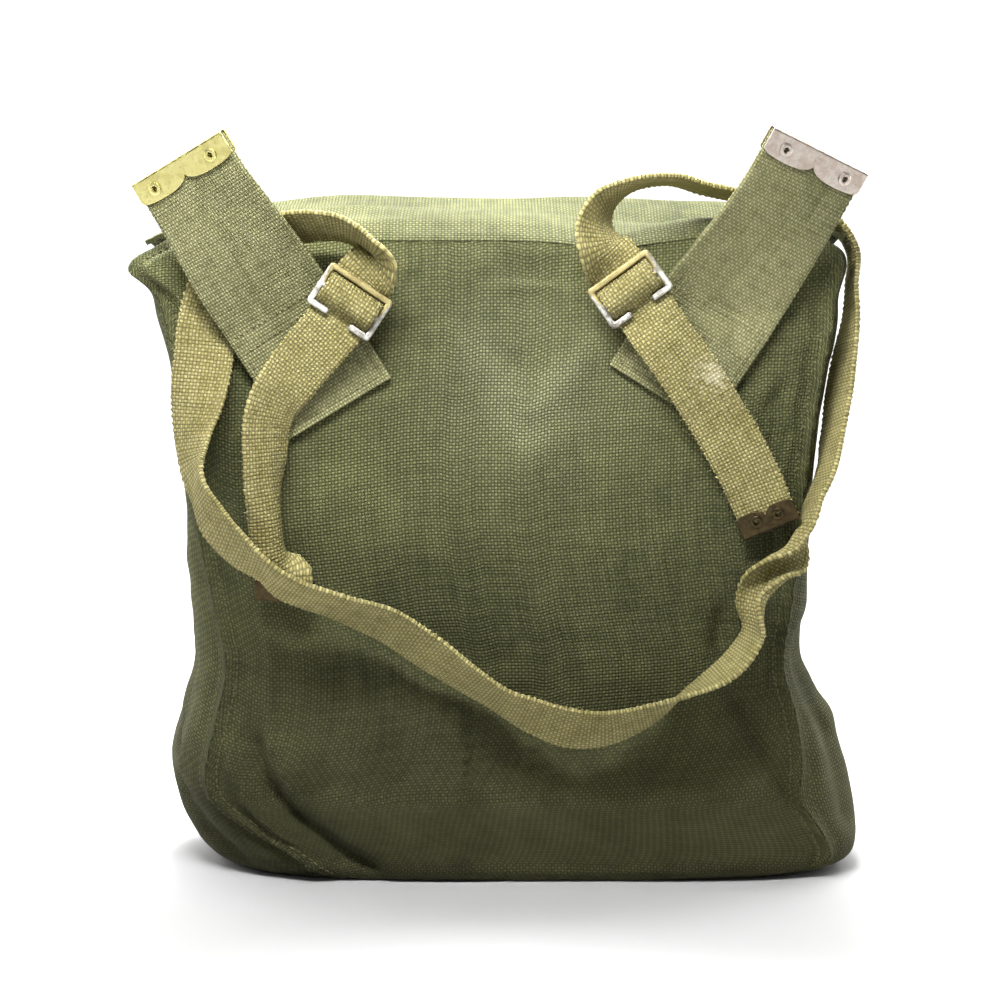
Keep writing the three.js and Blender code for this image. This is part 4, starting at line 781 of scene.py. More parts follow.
def lidPiece():
    grid = upsample(lidGrid(), lidShape["finerRows"], lidShape["finerColumns"])
    cloth = runLengths(grid)
    edge = np.minimum(cloth[..., 0] - cloth[:, :1, 0], cloth[:, -1:, 0] - cloth[..., 0])
    hem = np.minimum(edge, cloth[-1:, :, 1] - cloth[..., 1])
    back = cloth[..., 1]
    rows, columns = grid.shape[:2]
    waves = clothWaves(rows, columns, 9, 10, lidShape["small"])
    waves = waves + clothWaves(rows, columns, 26, 30, lidShape["fine"])
    lift = waves * smooth(0, 16, hem) * smooth(0, 10, back)
    lift += lidShape["hem"] * np.exp(-((hem - lidShape["hemAt"]) / 1.4)**2)
    lift -= lidShape["stitchDip"] * np.exp(-((hem - lidShape["stitchAt"]) / 1.2)**2)
    pucker = 1 + 0.3 * np.sin(cloth[..., 0] * 0.86)
    lift += lidShape["backSeam"] * np.exp(-((back - lidShape["backAt"]) / 3.0)**2) * pucker
    grid = grid + gridNormals(grid) * lift[..., None]
    uv = runLengths(grid)
    piece = clothSlab("lid_flap_cloth", grid, bag["canvas"], uv, canvas)
    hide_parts("lid_flap")
    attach(piece, "root")
    wide, long = np.ptp(uv[len(uv) // 2, :, 0]) * mm, uv[-1, :, 1].mean() * mm
    return wide, long


print("lid made, flat size", lidPiece())


def curvePoint(points, at):
    # centripetal curve through the rows, at a share of the whole
    last = len(points) - 1
    i = int(min(math.floor(at), last - 1))
    w = at - i
    p1, p2 = points[i], points[i + 1]
    p0 = points[i - 1] if i > 0 else 2 * points[0] - points[1]
    p3 = points[i + 2] if i + 2 <= last else 2 * points[last] - points[last - 1]
    d0, d1, d2 = (np.sqrt(np.linalg.norm(b - a)) for a, b in ((p0, p1), (p1, p2), (p2, p3)))
    d1 = 1.0 if d1 < 1e-4 else d1
    d0, d2 = (d1 if d < 1e-4 else d for d in (d0, d2))
    t1 = ((p1 - p0) / d0 - (p2 - p0) / (d0 + d1) + (p2 - p1) / d1) * d1
    t2 = ((p2 - p1) / d1 - (p3 - p1) / (d1 + d2) + (p3 - p2) / d2) * d1
    return p1 + t1 * w + (-3 * p1 + 3 * p2 - 2 * t1 - t2) * w**2 + (2 * p1 - 2 * p2 + t1 + t2) * w**3


def row(x, y, z, wx, wy, wz, over, cup=0, straight=False):
    w = np.array([wx, wy, wz], float)
    return dict(centre=np.array([x * halfWidth, y * halfDepth, z * height]), across=w / np.linalg.norm(w),
                over=over if over < 0 else over * layer, cup=math.radians(cup), straight=straight)


def bandMiddle(rows, wide, thick, step, columns):
    # middle surface of a band, one row about every step, pushed clear of the bag
    centres = [r["centre"] for r in rows]
    widths = [r["across"] for r in rows]
    spots = []
    for i in range(len(rows) - 1):
        count = max(2, int(round(np.linalg.norm(centres[i + 1] - centres[i]) / step)))
        for k in range(count):
            spots.append((i, k / count))
    spots.append((len(rows) - 2, 1.0))
    centre, across, over, cup = [], [], [], []
    for i, t in spots:
        a, b = rows[i], rows[i + 1]
        if a["straight"]:
            centre.append(a["centre"] * (1 - t) + b["centre"] * t)
            across.append(a["across"] * (1 - t) + b["across"] * t)
        else:
            centre.append(curvePoint(centres, i + t))
            across.append(curvePoint(widths, i + t))
        over.append(a["over"] * (1 - t) + b["over"] * t)
        cup.append(a["cup"] * (1 - t) + b["cup"] * t)
    centre, across, over, cup = map(np.array, (centre, across, over, cup))
    along = unit(np.gradient(centre, axis=0))
    face = unit(np.cross(across, along))
    across = unit(np.cross(along, face))
    s = np.linspace(-0.5, 0.5, columns + 1)
    s = np.sign(s) * (1 - (1 - 2 * np.abs(s))**1.35) / 2  # closer together at the selvedges
    turn = s[None, :] * np.maximum(cup, 1e-3)[:, None]
    radius = wide / np.maximum(cup, 1e-3)[:, None]
    p = (centre[:, None] + across[:, None] * (radius * np.sin(turn))[..., None]
         - face[:, None] * (radius * (1 - np.cos(turn)))[..., None])
    clear = np.broadcast_to((over + thick / 2 + bag["softGap"])[:, None], p.shape[:2])
    active = np.broadcast_to((over >= 0)[:, None], p.shape[:2])
    return pushOut(p, clear, active), s


def bandPiece(name, rows, wide, thick, material, slot, step, columns, bead, pick, settle=2):
    middle, s = bandMiddle(rows, wide, thick, step, columns)
    for _ in range(settle):  # eases small steps where the band starts to touch
        middle[1:-1] = middle[1:-1] * 0.5 + (middle[2:] + middle[:-2]) * 0.25
    uv = runLengths(middle)
    uv[..., 1] = uv[:, [len(s) // 2], 1]  # the weft runs straight across
    along = uv[:, len(s) // 2, 1][:, None]
    edge = wide / 2 - np.abs(s)[None, :] * wide
    loops = np.sin(along * 2 * math.pi / pick + np.where(s < 0, 0.0, 1.1)[None, :] * math.pi)
    loops = loops + 0.4 * np.sin(along * 2.9 + 5 * np.sin(along * 0.13))
    near = np.exp(-(edge / 1.1)**2)
    side = unit(np.gradient(middle, axis=1))
    middle = middle + side * (np.sign(s)[None, :] * near * loops * bead * 0.55)[..., None]
    half = thick / 2 * np.sqrt(np.clip(1 - (1 - np.clip(edge / (thick * 0.5), 0, 1))**2, 0.12, 1))
    half = half * (1 + near * (0.16 * (bead > 0) + bead * 0.35 * loops))
    normals = gridNormals(middle)
    outer = middle + normals * half[..., None]
    inner = middle - normals * half[..., None]
    rowsCount, columnsCount = middle.shape[:2]
    uvs = np.concatenate([uv.reshape(-1, 2)] * 2)
    piece = meshFrom(name, np.concatenate([outer.reshape(-1, 3), inner.reshape(-1, 3)]),
                     slabFaces(rowsCount, columnsCount), uvs, material, 60)
    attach(piece, "root")
    return piece, middle, normals, uv


def frameRow(x, y, z, wx, wy, wz, tilt):
    centre = np.array([x * halfWidth, y * halfDepth, z * height])
    across = unit(np.array([wx, wy, wz], float))
    facing = np.array([0, -1, tilt], float)
    facing = unit(facing - across * facing.dot(across))
    down = unit(np.cross(across, facing))
    return dict(centre=centre, across=across, down=down if down[2] < 0 else -down, facing=facing)


buckleFrames = dict(left=frameRow(-0.45, -1.20, 0.897, 0.82, 0.05, -0.56, 0.25),
                    right=frameRow(0.39, -1.16, 0.915, -0.81, 0.05, -0.59, 0.25))
buckleReach = bag["wire"] * 1.5 + bag["window"]
buckleInner = bag["strapWidth"] / 2 + bag["fitGap"]
buckleOuter = buckleInner + bag["wire"]


def inFrame(spot, along, out):
    return dict(centre=spot["centre"] + spot["down"] * along + spot["facing"] * out, across=spot["across"],
                over=-1, cup=0.0, straight=False)


def throughBuckle(spot):
    behind = -(bag["buckleThick"] / 2 + bag["fitGap"] + bag["strapThick"] / 2)
    turn = bag["buckleThick"] / 2 + bag["fitGap"] + bag["chapeThick"]
    over = turn + bag["fitGap"] + bag["strapThick"] / 2
    slip = bag["wire"] / 2 + bag["window"] - bag["fitGap"] - bag["strapThick"] / 2
    way = [(-buckleReach - bag["strapThick"], behind), (-slip - bag["strapThick"] / 2, behind),
           (-slip * 0.95, behind * 0.35), (-slip * 0.8, over * 0.55), (-slip * 0.4, over * 0.97),
           (slip * 0.4, over * 0.97), (slip * 0.8, over * 0.55), (slip * 0.95, behind * 0.35),
           (slip + bag["strapThick"] / 2, behind), (buckleReach + bag["strapThick"], behind)]
    return [inFrame(spot, along, out) for along, out in way]


# the strap and the tabs: x, y, z as shares, the way across, the layer, and the curl in degrees
leftTail = [
    row(-0.655, -1.165, 0.450, 0.74, -0.04, -0.67, -1, straight=True),
    row(-0.656, -1.205, 0.487, 0.72, -0.04, -0.69, -1),
    row(-0.664, -1.23, 0.504, 0.54, 0.42, -0.73, -1, cup=170),
    row(-0.672, -1.25, 0.530, 0.50, 0.72, -0.50, -1, cup=200),
    row(-0.680, -1.27, 0.575, 0.52, 0.82, -0.24, 0, cup=175),
    row(-0.700, -1.25, 0.66, 0.64, 0.76, -0.05, 0.3, cup=30),
    row(-0.69, -1.24, 0.735, 0.74, 0.6, -0.15, 1.2), row(-0.62, -1.22, 0.79, 0.84, 0.3, -0.4, 1.25),
]
leftLoop = [
    row(-0.36, -1.16, 0.958, 0.6, -0.7, -0.4, 0), row(-0.41, -1.14, 0.986, 0.32, -0.92, 0.15, 0),
    row(-0.47, -1.12, 1.003, 0.11, -0.91, 0.39, 0), row(-0.55, -1.09, 1.008, 0.05, -0.87, 0.48, 0),
    row(-0.65, -1.04, 1, -0.1, -0.8, 0.6, 0), row(-0.76, -0.9, 0.965, -0.5, -0.4, 0.75, 0),
    row(-0.86, -0.88, 0.91, -0.86, -0.06, 0.48, 0), row(-0.89, -0.92, 0.858, -0.94, -0.04, 0.28, 0),
    row(-0.9, -0.97, 0.812, -0.98, -0.06, 0.1, 0), row(-0.915, -1.06, 0.754, -0.94, 0.32, 0.05, 0),
    row(-0.93, -1.12, 0.7, -0.7, 0.7, -0.12, 0), row(-0.93, -1.18, 0.655, -0.48, 0.86, -0.18, 0),
    row(-0.91, -1.28, 0.618, -0.35, 0.9, -0.26, 0), row(-0.86, -1.38, 0.572, -0.47, 0.75, -0.46, 0),
    row(-0.78, -1.47, 0.532, -0.35, 0.76, -0.55, 0), row(-0.705, -1.51, 0.504, -0.22, 0.86, -0.46, 0),
]
bottomLoop = [
    row(-0.64, -1.51, 0.478, -0.34, 0.81, -0.47, 0), row(-0.49, -1.44, 0.448, -0.32, 0.81, -0.49, 0),
    row(-0.34, -1.37, 0.417, -0.28, 0.7, -0.66, 0), row(-0.23, -1.38, 0.382, -0.3, 0.68, -0.67, 0),
    row(-0.12, -1.36, 0.342, -0.28, 0.77, -0.57, 0), row(-0.01, -1.35, 0.306, -0.18, 0.82, -0.54, 0),
    row(0.1, -1.37, 0.279, -0.14, 0.68, -0.72, 0), row(0.21, -1.39, 0.261, -0.05, 0.6, -0.8, 0),
    row(0.32, -1.37, 0.259, 0.04, 0.68, -0.73, 0), row(0.46, -1.33, 0.28, 0.11, 0.86, -0.5, 0),
    row(0.58, -1.29, 0.313, 0, 0.99, -0.1, 0), row(0.67, -1.26, 0.338, -0.12, 0.98, 0.08, 0),
    row(0.73, -1.24, 0.365, -0.22, 0.96, 0.06, 0), row(0.775, -1.21, 0.402, -0.26, 0.95, -0.08, 0),
    row(0.795, -1.19, 0.448, -0.42, 0.88, -0.12, 0, cup=160),
]
rightLoop = [
    row(0.835, -1.14, 0.49, -0.93, 0.2, 0.25, 0, cup=240),
    row(0.88, -1.1, 0.525, -0.5, -0.84, 0.2, 0.4, cup=170),
    row(0.92, -1.04, 0.56, 0.05, -0.98, 0.18, 0.5, cup=70),
    row(0.95, -0.96, 0.59, 0.2, -0.97, 0.14, 0.4), row(1, -0.84, 0.64, 0.2, -0.97, 0.06, 0),
    row(1.03, -0.72, 0.697, 0.22, -0.97, 0.1, 0), row(1.05, -0.62, 0.752, 0.3, -0.94, 0.14, 0),
    row(1.07, -0.53, 0.81, 0.25, -0.95, 0.18, 0), row(1.09, -0.45, 0.864, 0.1, -0.99, 0.08, 0),
    row(1.095, -0.38, 0.915, 0.02, -1, 0.08, 0.4), row(1.1, -0.33, 0.965, 0.02, -0.99, 0.1, 1.2),
    row(1.03, -0.33, 1.012, 0, -0.98, 0.16, 1.2), row(0.9, -0.4, 1.03, -0.05, -0.98, 0.16, 0),
    row(0.77, -0.53, 1.046, -0.07, -0.98, 0.18, 0), row(0.64, -0.64, 1.06, -0.05, -0.98, 0.18, 0),
    row(0.52, -0.76, 1.074, -0.08, -0.98, 0.15, 0), row(0.4, -0.88, 1.066, -0.28, -0.95, 0.1, 0),
    row(0.325, -0.95, 1.043, -0.45, -0.89, 0.05, 0), row(0.295, -1.03, 1.012, -0.57, -0.82, -0.05, 0),
    row(0.31, -1.12, 0.975, -0.72, -0.55, -0.38, 0),
]
rightTail = [
    row(0.475, -1.2, 0.855, -0.78, 0, -0.63, 2.6), row(0.54, -1.19, 0.812, -0.79, 0, -0.61, 2.5),
    row(0.615, -1.18, 0.757, -0.78, 0.02, -0.62, 2.1), row(0.7, -1.15, 0.688, -0.81, 0.05, -0.58, 0),
    row(0.77, -1.11, 0.624, -0.8, 0.16, -0.57, 0),
    row(0.797, -1.09, 0.593, -0.78, 0.22, -0.58, 0, straight=True),
    row(0.83, -1.08, 0.558, -0.78, 0.22, -0.58, 0),
]
tabRows = dict(
    left=[
        row(-0.485, -1, 0.735, 0.873, 0, 0.488, 0), row(-0.575, -1, 0.808, 0.873, 0, 0.488, 0),
        row(-0.66, -1.03, 0.874, 0.87, -0.04, 0.48, 1.5), row(-0.738, -1.14, 0.935, 0.85, -0.12, 0.46, 1.6),
        row(-0.81, -1.22, 0.992, 0.82, -0.3, 0.45, 1.4),
        row(-0.89, -1.25, 1.054, 0.79, -0.44, 0.44, 0, straight=True),
        row(-0.952, -1.27, 1.105, 0.78, -0.45, 0.44, 0),
    ],
    right=[
        row(0.485, -0.95, 0.752, 0.868, 0, -0.497, 0), row(0.57, -0.93, 0.818, 0.868, 0, -0.497, 0),
        row(0.655, -0.93, 0.88, 0.87, 0.06, -0.49, 0.3), row(0.73, -1.05, 0.937, 0.85, 0.22, -0.47, 0.6),
        row(0.81, -1.15, 0.998, 0.82, 0.38, -0.43, 1),
        row(0.885, -1.21, 1.06, 0.8, 0.44, -0.4, 0, straight=True),
        row(0.945, -1.25, 1.116, 0.8, 0.44, -0.4, 0),
    ],
)
route = (leftTail + throughBuckle(buckleFrames["left"])[::-1] + leftLoop + bottomLoop + rightLoop
         + throughBuckle(buckleFrames["right"]) + rightTail)


def spotOn(grid, normals, uv, u, v):
    # place and normal on a band or panel at lengths across and along it
    middle = grid.shape[1] // 2
    r = float(np.interp(v, uv[:, middle, 1], np.arange(len(uv))))
    i = min(int(r), len(uv) - 2)
    c = float(np.interp(u, uv[i, :, 0], np.arange(grid.shape[1])))
    j = min(int(c), grid.shape[1] - 2)
    a, b = r - i, c - j

    def blend(values):
        return ((values[i, j] * (1 - b) + values[i, j + 1] * b) * (1 - a)
                + (values[i + 1, j] * (1 - b) + values[i + 1, j + 1] * b) * a)
    return blend(grid), unit(blend(normals))


stitchLook = dict(share=0.74, radius=0.36, lift=0.30)


def stitchRow(path, pitch, skip):
    # path: list of (place, normal); gives the stitches laid along it
    points = np.array([p for p, _ in path])
    normals = np.array([n for _, n in path])
    length = np.concatenate([[0], np.cumsum(np.linalg.norm(np.diff(points, axis=0), axis=1))])
    count = int(length[-1] / pitch)
    made = []
    for k in range(count):
        if dice.random() < skip:
            continue
        start = k * pitch + dice.uniform(-0.15, 0.15)
        ends = [start, start + pitch * stitchLook["share"] * dice.uniform(0.92, 1.06)]
        a, b = (np.array([np.interp(e, length, points[:, m]) for m in range(3)]) for e in ends)
        n = unit(np.array([np.interp(start, length, normals[:, m]) for m in range(3)]))
        side = np.cross(n, unit(b - a)) * dice.gauss(0, 0.12)
        made.append((a + side, b - side, n))
    return made


def stitchPiece(name, stitches, material, radius=None):
    radius = radius or stitchLook["radius"]
    points, faces = [], []
    ringCount, turns = 5, 6
    for a, b, n in stitches:
        along = b - a
        d = unit(along)
        side = np.cross(n, d)
        base = len(points)
        for k in range(ringCount):
            t = k / (ringCount - 1)
            bow = 1 - (2 * t - 1)**2
            centre = a + along * t + n * (stitchLook["lift"] * (bow * 1.5 - 0.5))
            wide = radius * (0.45 + 0.55 * bow**0.5)
            for m in range(turns):
                angle = 2 * math.pi * m / turns
                points.append(centre + side * wide * math.cos(angle) + n * wide * 0.85 * math.sin(angle))
        for k in range(ringCount - 1):
            for m in range(turns):
                p, q = base + k * turns + m, base + k * turns + (m + 1) % turns
                faces.append((p, q, q + turns, p + turns))
        faces.append(tuple(base + m for m in range(turns))[::-1])
        faces.append(tuple(base + (ringCount - 1) * turns + m for m in range(turns)))
    piece = meshFrom(name, points, faces, None, material, 0)
    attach(piece, "root")
    return piece


def fibres(name, starts, material, slot, reach, thin):
    # loose ends of yarn: thin bent tubes
    points, faces = [], []
    for place, normal in starts:
        length = dice.uniform(*reach)
        aim = unit(normal + np.array([dice.gauss(0, 0.6) for _ in range(3)]))
        bend = np.array([dice.gauss(0, 0.35) for _ in range(3)])
        base = len(points)
        here = np.array(place)
        for k in range(6):
            side = unit(np.cross(aim, np.array([0.3, 0.5, 0.8])))
            up = np.cross(aim, side)
            for m in range(3):
                angle = 2 * math.pi * m / 3
                size = thin * (1 - 0.12 * k)
                points.append(here + side * size * math.cos(angle) + up * size * math.sin(angle))
            here = here + aim * length / 5
            aim = unit(aim + bend * 0.5)
        for k in range(5):
            for m in range(3):
                p, q = base + k * 3 + m, base + k * 3 + (m + 1) % 3
                faces.append((p, q, q + 3, p + 3))
    piece = meshFrom(name, points, faces, None, material, 0)
    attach(piece, "root")
    return piece


# step and columns of the mesh, roundness of the selvedge loops and their pitch, easing passes
strapLine = dict(step=1.3, columns=16, bead=0.75, pick=2.5)
tabLine = dict(step=1.3, columns=26, bead=0.35, pick=2.4)
closingLine = dict(step=2.0, columns=12, bead=0.3, pick=2.4)
chapeLine = dict(step=0.8, columns=14, bead=0.25, pick=2.2, settle=0)

strap, strapMiddle, strapNormals, strapUv = bandPiece(
    "carrying_strap_cloth", route, bag["strapWidth"], bag["strapThick"], strapWebbing, "strap_webbing",
    **strapLine)
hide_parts("carrying_strap")
strapLong = strapUv[-1, strapLine["columns"] // 2, 1] * mm
print("strap made, long", strapLong)

tabs = {}
for side in ("left", "right"):
    tab, middle, normals, uv = bandPiece(f"tab_{side}_cloth", tabRows[side], bag["tabWidth"], bag["tabThick"],
                                         tabWebbing, "tab_webbing", **tabLine)
    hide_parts(f"tab_{side}")
    tabs[side] = (middle + normals * (bag["tabThick"] / 2), normals, uv)
    long = uv[-1, tabLine["columns"] // 2, 1] * mm
    print("tab", side, "long", long)

# closing straps on the hidden front
closing = dict(out=0.90, ups=(0.60, 0.42, 0.37, 0.30, 0.20), buckleUp=0.30)
for side, sign in (("left", -1), ("right", 1)):
    rows = [row(0, closing["out"], up, 1, 0, 0, 0) for up in closing["ups"]]
    for r in rows:
        r["centre"][0] = sign * bag["closingSpacing"] / 2
    piece, middle, normals, uv = bandPiece(f"closing_strap_{side}_cloth", rows, bag["strapWidth"],
                                           bag["strapThick"], tabWebbing, "tab_webbing", **closingLine)
    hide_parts(f"closing_strap_{side}")
    long = uv[-1, closingLine["columns"] // 2, 1] * mm

# chapes, turned round the centre bars
chapeRoutes = dict(
    left=dict(turn=1, lead=[(-0.5, -2.1), (-0.98, -2.75)],
              away=[row(-0.411, -0.96, 0.930, 0.82, 0.05, -0.56, -1),
                    row(-0.418, -0.90, 0.925, 0.82, 0.05, -0.56, 0),
                    row(-0.434, -0.88, 0.910, 0.82, 0.05, -0.56, 0),
                    row(-0.453, -0.88, 0.892, 0.82, 0.05, -0.56, 0)]),
    right=dict(turn=-1, lead=[(0.45, -2.2), (0.95, -2.7)],
               away=[row(0.465, -0.98, 0.862, -0.81, 0.05, -0.59, 1.4),
                     row(0.500, -0.96, 0.838, -0.81, 0.05, -0.59, 1.3)]),
)
for side, way in chapeRoutes.items():
    spot = buckleFrames[side]
    radius = bag["buckleThick"] / 2 + bag["fitGap"] + bag["chapeThick"] / 2
    rows = []
    for degrees in (-50, 0, 45, 90, 135, 180, 225):
        a = math.radians(degrees)
        rows.append(inFrame(spot, way["turn"] * radius * 1.12 * math.cos(a), radius * math.sin(a)))
    rows += [inFrame(spot, along * buckleReach, out * bag["buckleThick"]) for along, out in way["lead"]]
    rows += way["away"]
    if way["turn"] > 0:
        rows.reverse()
    chape = bandPiece(f"buckle_chape_{side}_cloth", rows, bag["strapWidth"] - 2 * bag["fitGap"],
                      bag["chapeThick"], tabWebbing, "tab_webbing", **chapeLine)[0]
    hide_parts(f"buckle_chape_{side}")
print("bands made")


def arc(a, b, c, count):
    return [tuple((1 - t)**2 * a[k] + 2 * t * (1 - t) * b[k] + t * t * c[k] for k in range(2))
            for t in (k / count for k in range(1, count + 1))]


def circle(x, y, radius, count=28):
    return [(x + radius * math.cos(2 * math.pi * k / count), y + radius * math.sin(2 * math.pi * k / count))
            for k in range(count)]


def plate(outlines, thick, edge):
    # flat piece with rounded edges from closed outlines, holes among them
    curve = bpy.data.curves.new("plate", "CURVE")
    curve.dimensions = "2D"
    curve.fill_mode = "BOTH"
    curve.extrude = max(thick / 2 - edge, 0) * mm
    curve.bevel_depth = edge * mm
    curve.bevel_resolution = 2
    curve.offset = -edge * mm
    for outline in outlines:
        spline = curve.splines.new("POLY")
        spline.points.add(len(outline) - 1)
        for point, (x, y) in zip(spline.points, outline):
            point.co = (x * mm, y * mm, 0, 1)
        spline.use_cyclic_u = True
    holder = bpy.data.objects.new("plate", curve)
    bpy.context.scene.collection.objects.link(holder)
    bpy.context.view_layer.update()
    mesh = bpy.data.meshes.new_from_object(holder.evaluated_get(bpy.context.evaluated_depsgraph_get()))
    bpy.data.objects.remove(holder)
    return mesh


def joined(name, meshes, matrix, material, sharp=40):
    # one object from several meshes, placed by a matrix in millimetres
    form = bmesh.new()
    for mesh in meshes:
        form.from_mesh(mesh)
    form.transform(matrix)
    mesh = bpy.data.meshes.new(name)
    form.to_mesh(mesh)
    form.free()
    mesh.polygons.foreach_set("use_smooth", [True] * len(mesh.polygons))
    mesh.set_sharp_from_angle(angle=math.radians(sharp))
    mesh.materials.clear()
    mesh.materials.append(material)
    thing = bpy.data.objects.new(name, mesh)
    bpy.context.scene.collection.objects.link(thing)
    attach(thing, "root")
    return thing


def matrixOf(u, v, n, place):
    rows = [(*(a[k] for a in (u, v, n)), place[k] * mm) for k in range(3)]
    return Matrix(rows + [(0, 0, 0, 1)])


def endFrame(rows, atStart):
    end, following = (rows[0], rows[1]) if atStart else (rows[-1], rows[-2])
    v = unit(end["centre"] - following["centre"])
    n = unit(np.cross(end["across"], v)) * (-1 if atStart else 1)
    return np.cross(v, n), v, n, end["centre"]


def lathe(profile, turns=36):
    points = []
    for x, z in profile:
        for k in range(turns):
            angle = 2 * math.pi * k / turns
            points.append((x * math.cos(angle) * mm, x * math.sin(angle) * mm, z * mm))
    faces = []
    for r in range(len(profile)):
        for k in range(turns):
            a, b = r * turns + k, r * turns + (k + 1) % turns
            c = (r + 1) % len(profile) * turns
            faces.append((a, b, c + (k + 1) % turns, c + k))
    mesh = bpy.data.meshes.new("lathe")
    mesh.from_pydata(points, [], faces)
    return mesh


metalEdge = dict(tip=0.3, buckle=0.75, closingBuckle=0.7)


def tipMeshes(wide, thick, depth, spacing):
    half, top = wide / 2 + bag["fitGap"], bag["fitGap"]
    cusp, side = -depth * 0.62, -depth * 0.72
    outline = [(-half, side)]
    for a, b, c in (((-half, side), (-half, -depth), (-half / 2, -depth)),
                    ((-half / 2, -depth), (-half * 0.08, -depth), (0, cusp)),
                    ((0, cusp), (half * 0.08, -depth), (half / 2, -depth)),
                    ((half / 2, -depth), (half, -depth), (half, side))):
        outline += arc(a, b, c, 12)
    outline += [(half, top), (-half, top)]
    bore = bag["eyeletBore"] / 2 + bag["eyeletWall"]
    holes = [circle(sign * spacing / 2, -depth / 2, bore) for sign in (-1, 1)]
    out = thick / 2 + bag["fitGap"] + bag["sheetBrass"] / 2
    meshes = []
    for sign in (-1, 1):
        mesh = plate([outline] + holes, bag["sheetBrass"], metalEdge["tip"])
        mesh.transform(Matrix.Translation((0, 0, sign * out * mm)))
        meshes.append(mesh)
    whole = out + bag["sheetBrass"] / 2
    inner = whole - bag["sheetBrass"]
    bend = np.linspace(-math.pi / 2, math.pi / 2, 13)
    profile = [(whole * math.cos(a), whole * math.sin(a)) for a in bend]
    profile += [(inner * math.cos(a), inner * math.sin(a)) for a in -bend]
    steps = np.linspace(-half + 0.15, half - 0.15, 25)
    points = [(x * mm, (top - 0.2 + y * 0.55) * mm, z * mm) for x in steps for y, z in profile]
    count = len(profile)
    faces = []
    for r in range(len(steps) - 1):
        for k in range(count):
            a, b = r * count + k, r * count + (k + 1) % count
            faces.append((a, b, b + count, a + count))
    faces += [tuple(range(count))[::-1], tuple((len(steps) - 1) * count + k for k in range(count))]
    fold = bpy.data.meshes.new("fold")
    fold.from_pydata(points, [], faces)
    return meshes + [fold]


def eyeletMesh(thick):
    face = thick / 2 + bag["sheetBrass"] + 2 * bag["fitGap"]
    bore, metal = bag["eyeletBore"] / 2, bag["eyeletWall"]
    barrel = bore + metal
    flange = barrel + bag["eyeletFlange"]
    top = [(barrel, face), (flange - 0.15, face), (flange, face + metal * 0.35),
           (flange - 0.3, face + metal * 0.8), ((bore + flange) / 2, face + metal * 1.1),
           (bore + 0.15, face + metal * 0.85), (bore, face + metal * 0.2)]
    return lathe(top + [(x, -z) for x, z in top[::-1]])


def addTip(side, kind, spot, wide, thick, depth, spacing, material, slot):
    u, v, n, place = spot
    node = f"{kind}_{side}"
    tip = joined(node + "_metal", tipMeshes(wide, thick, depth, spacing), matrixOf(u, v, n, place), material)
    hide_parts(node)
    for sign, label in ((-1, "inner"), (1, "outer")):
        at = place + u * sign * spacing / 2 - v * depth / 2
        node = f"{kind.split('_')[0]}_eyelet_{side}_{label}"
        ring = joined(node + "_metal", [eyeletMesh(thick)], matrixOf(u, v, n, at), material)
        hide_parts(node)


tabEnds = dict(left=(tabBrass, "tab_brass"), right=(paleBrass, "pale_brass"))
for side in ("left", "right"):
    addTip(side, "tab_end", endFrame(tabRows[side], False), bag["tabWidth"], bag["tabThick"],
           bag["tabEndDepth"], bag["tabEyelets"], *tabEnds[side])
    addTip(side, "strap_tip", endFrame(route, side == "left"), bag["strapWidth"], bag["strapThick"],
           bag["strapTipDepth"], bag["strapEyelets"], darkBrass, "dark_brass")


def buckleOutlines():
    reach, inner, outer, wire = buckleReach, buckleInner, buckleOuter, bag["wire"]
    gap, bar, inside, r = outer - bag["prong"], wire / 2, buckleReach - bag["wire"], wire * 0.8
    end = wire * 0.45
    path = [(-gap - end, -reach)]
    path += arc((-gap - end, -reach), (-gap + 0.4, -reach), (-gap + 0.2, -reach + wire / 2), 5)
    path += arc((-gap + 0.2, -reach + wire / 2), (-gap + 0.4, -inside), (-gap - end, -inside), 5)
    path += [(-inner, -inside), (-inner, -bar), (inner, -bar), (inner, -inside), (gap + end, -inside)]
    path += arc((gap + end, -inside), (gap - 0.4, -inside), (gap - 0.2, -reach + wire / 2), 5)
    path += arc((gap - 0.2, -reach + wire / 2), (gap - 0.4, -reach), (gap + end, -reach), 5)
    for sx, sy in ((1, -1), (1, 1), (-1, 1), (-1, -1)):
        corner = (sx * outer, sy * reach)
        flat, upright = (corner[0] - sx * r, corner[1]), (corner[0], corner[1] - sy * r)
        before, after = (flat, upright) if sx * sy < 0 else (upright, flat)
        path += [before] + arc(before, corner, after, 6)
    window = [(-inner, bar), (-inner, inside), (inner, inside), (inner, bar)]
    return [path, window]


for side in ("left", "right"):
    spot = buckleFrames[side]
    up = -spot["down"]
    right = np.cross(up, spot["facing"])
    form = plate(buckleOutlines(), bag["buckleThick"], metalEdge["buckle"])
    buckle = joined(f"buckle_{side}_metal", [form], matrixOf(right, up, spot["facing"], spot["centre"]),
                    buckleMetal)
    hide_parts(f"buckle_{side}")
    buckle.data.materials.append(barBrass)
    for face in buckle.data.polygons:  # the closed bar has worn to the brass
        if Vector(face.center / mm - Vector(spot["centre"])).dot(Vector(up)) > 1.5:
            face.material_index = 1

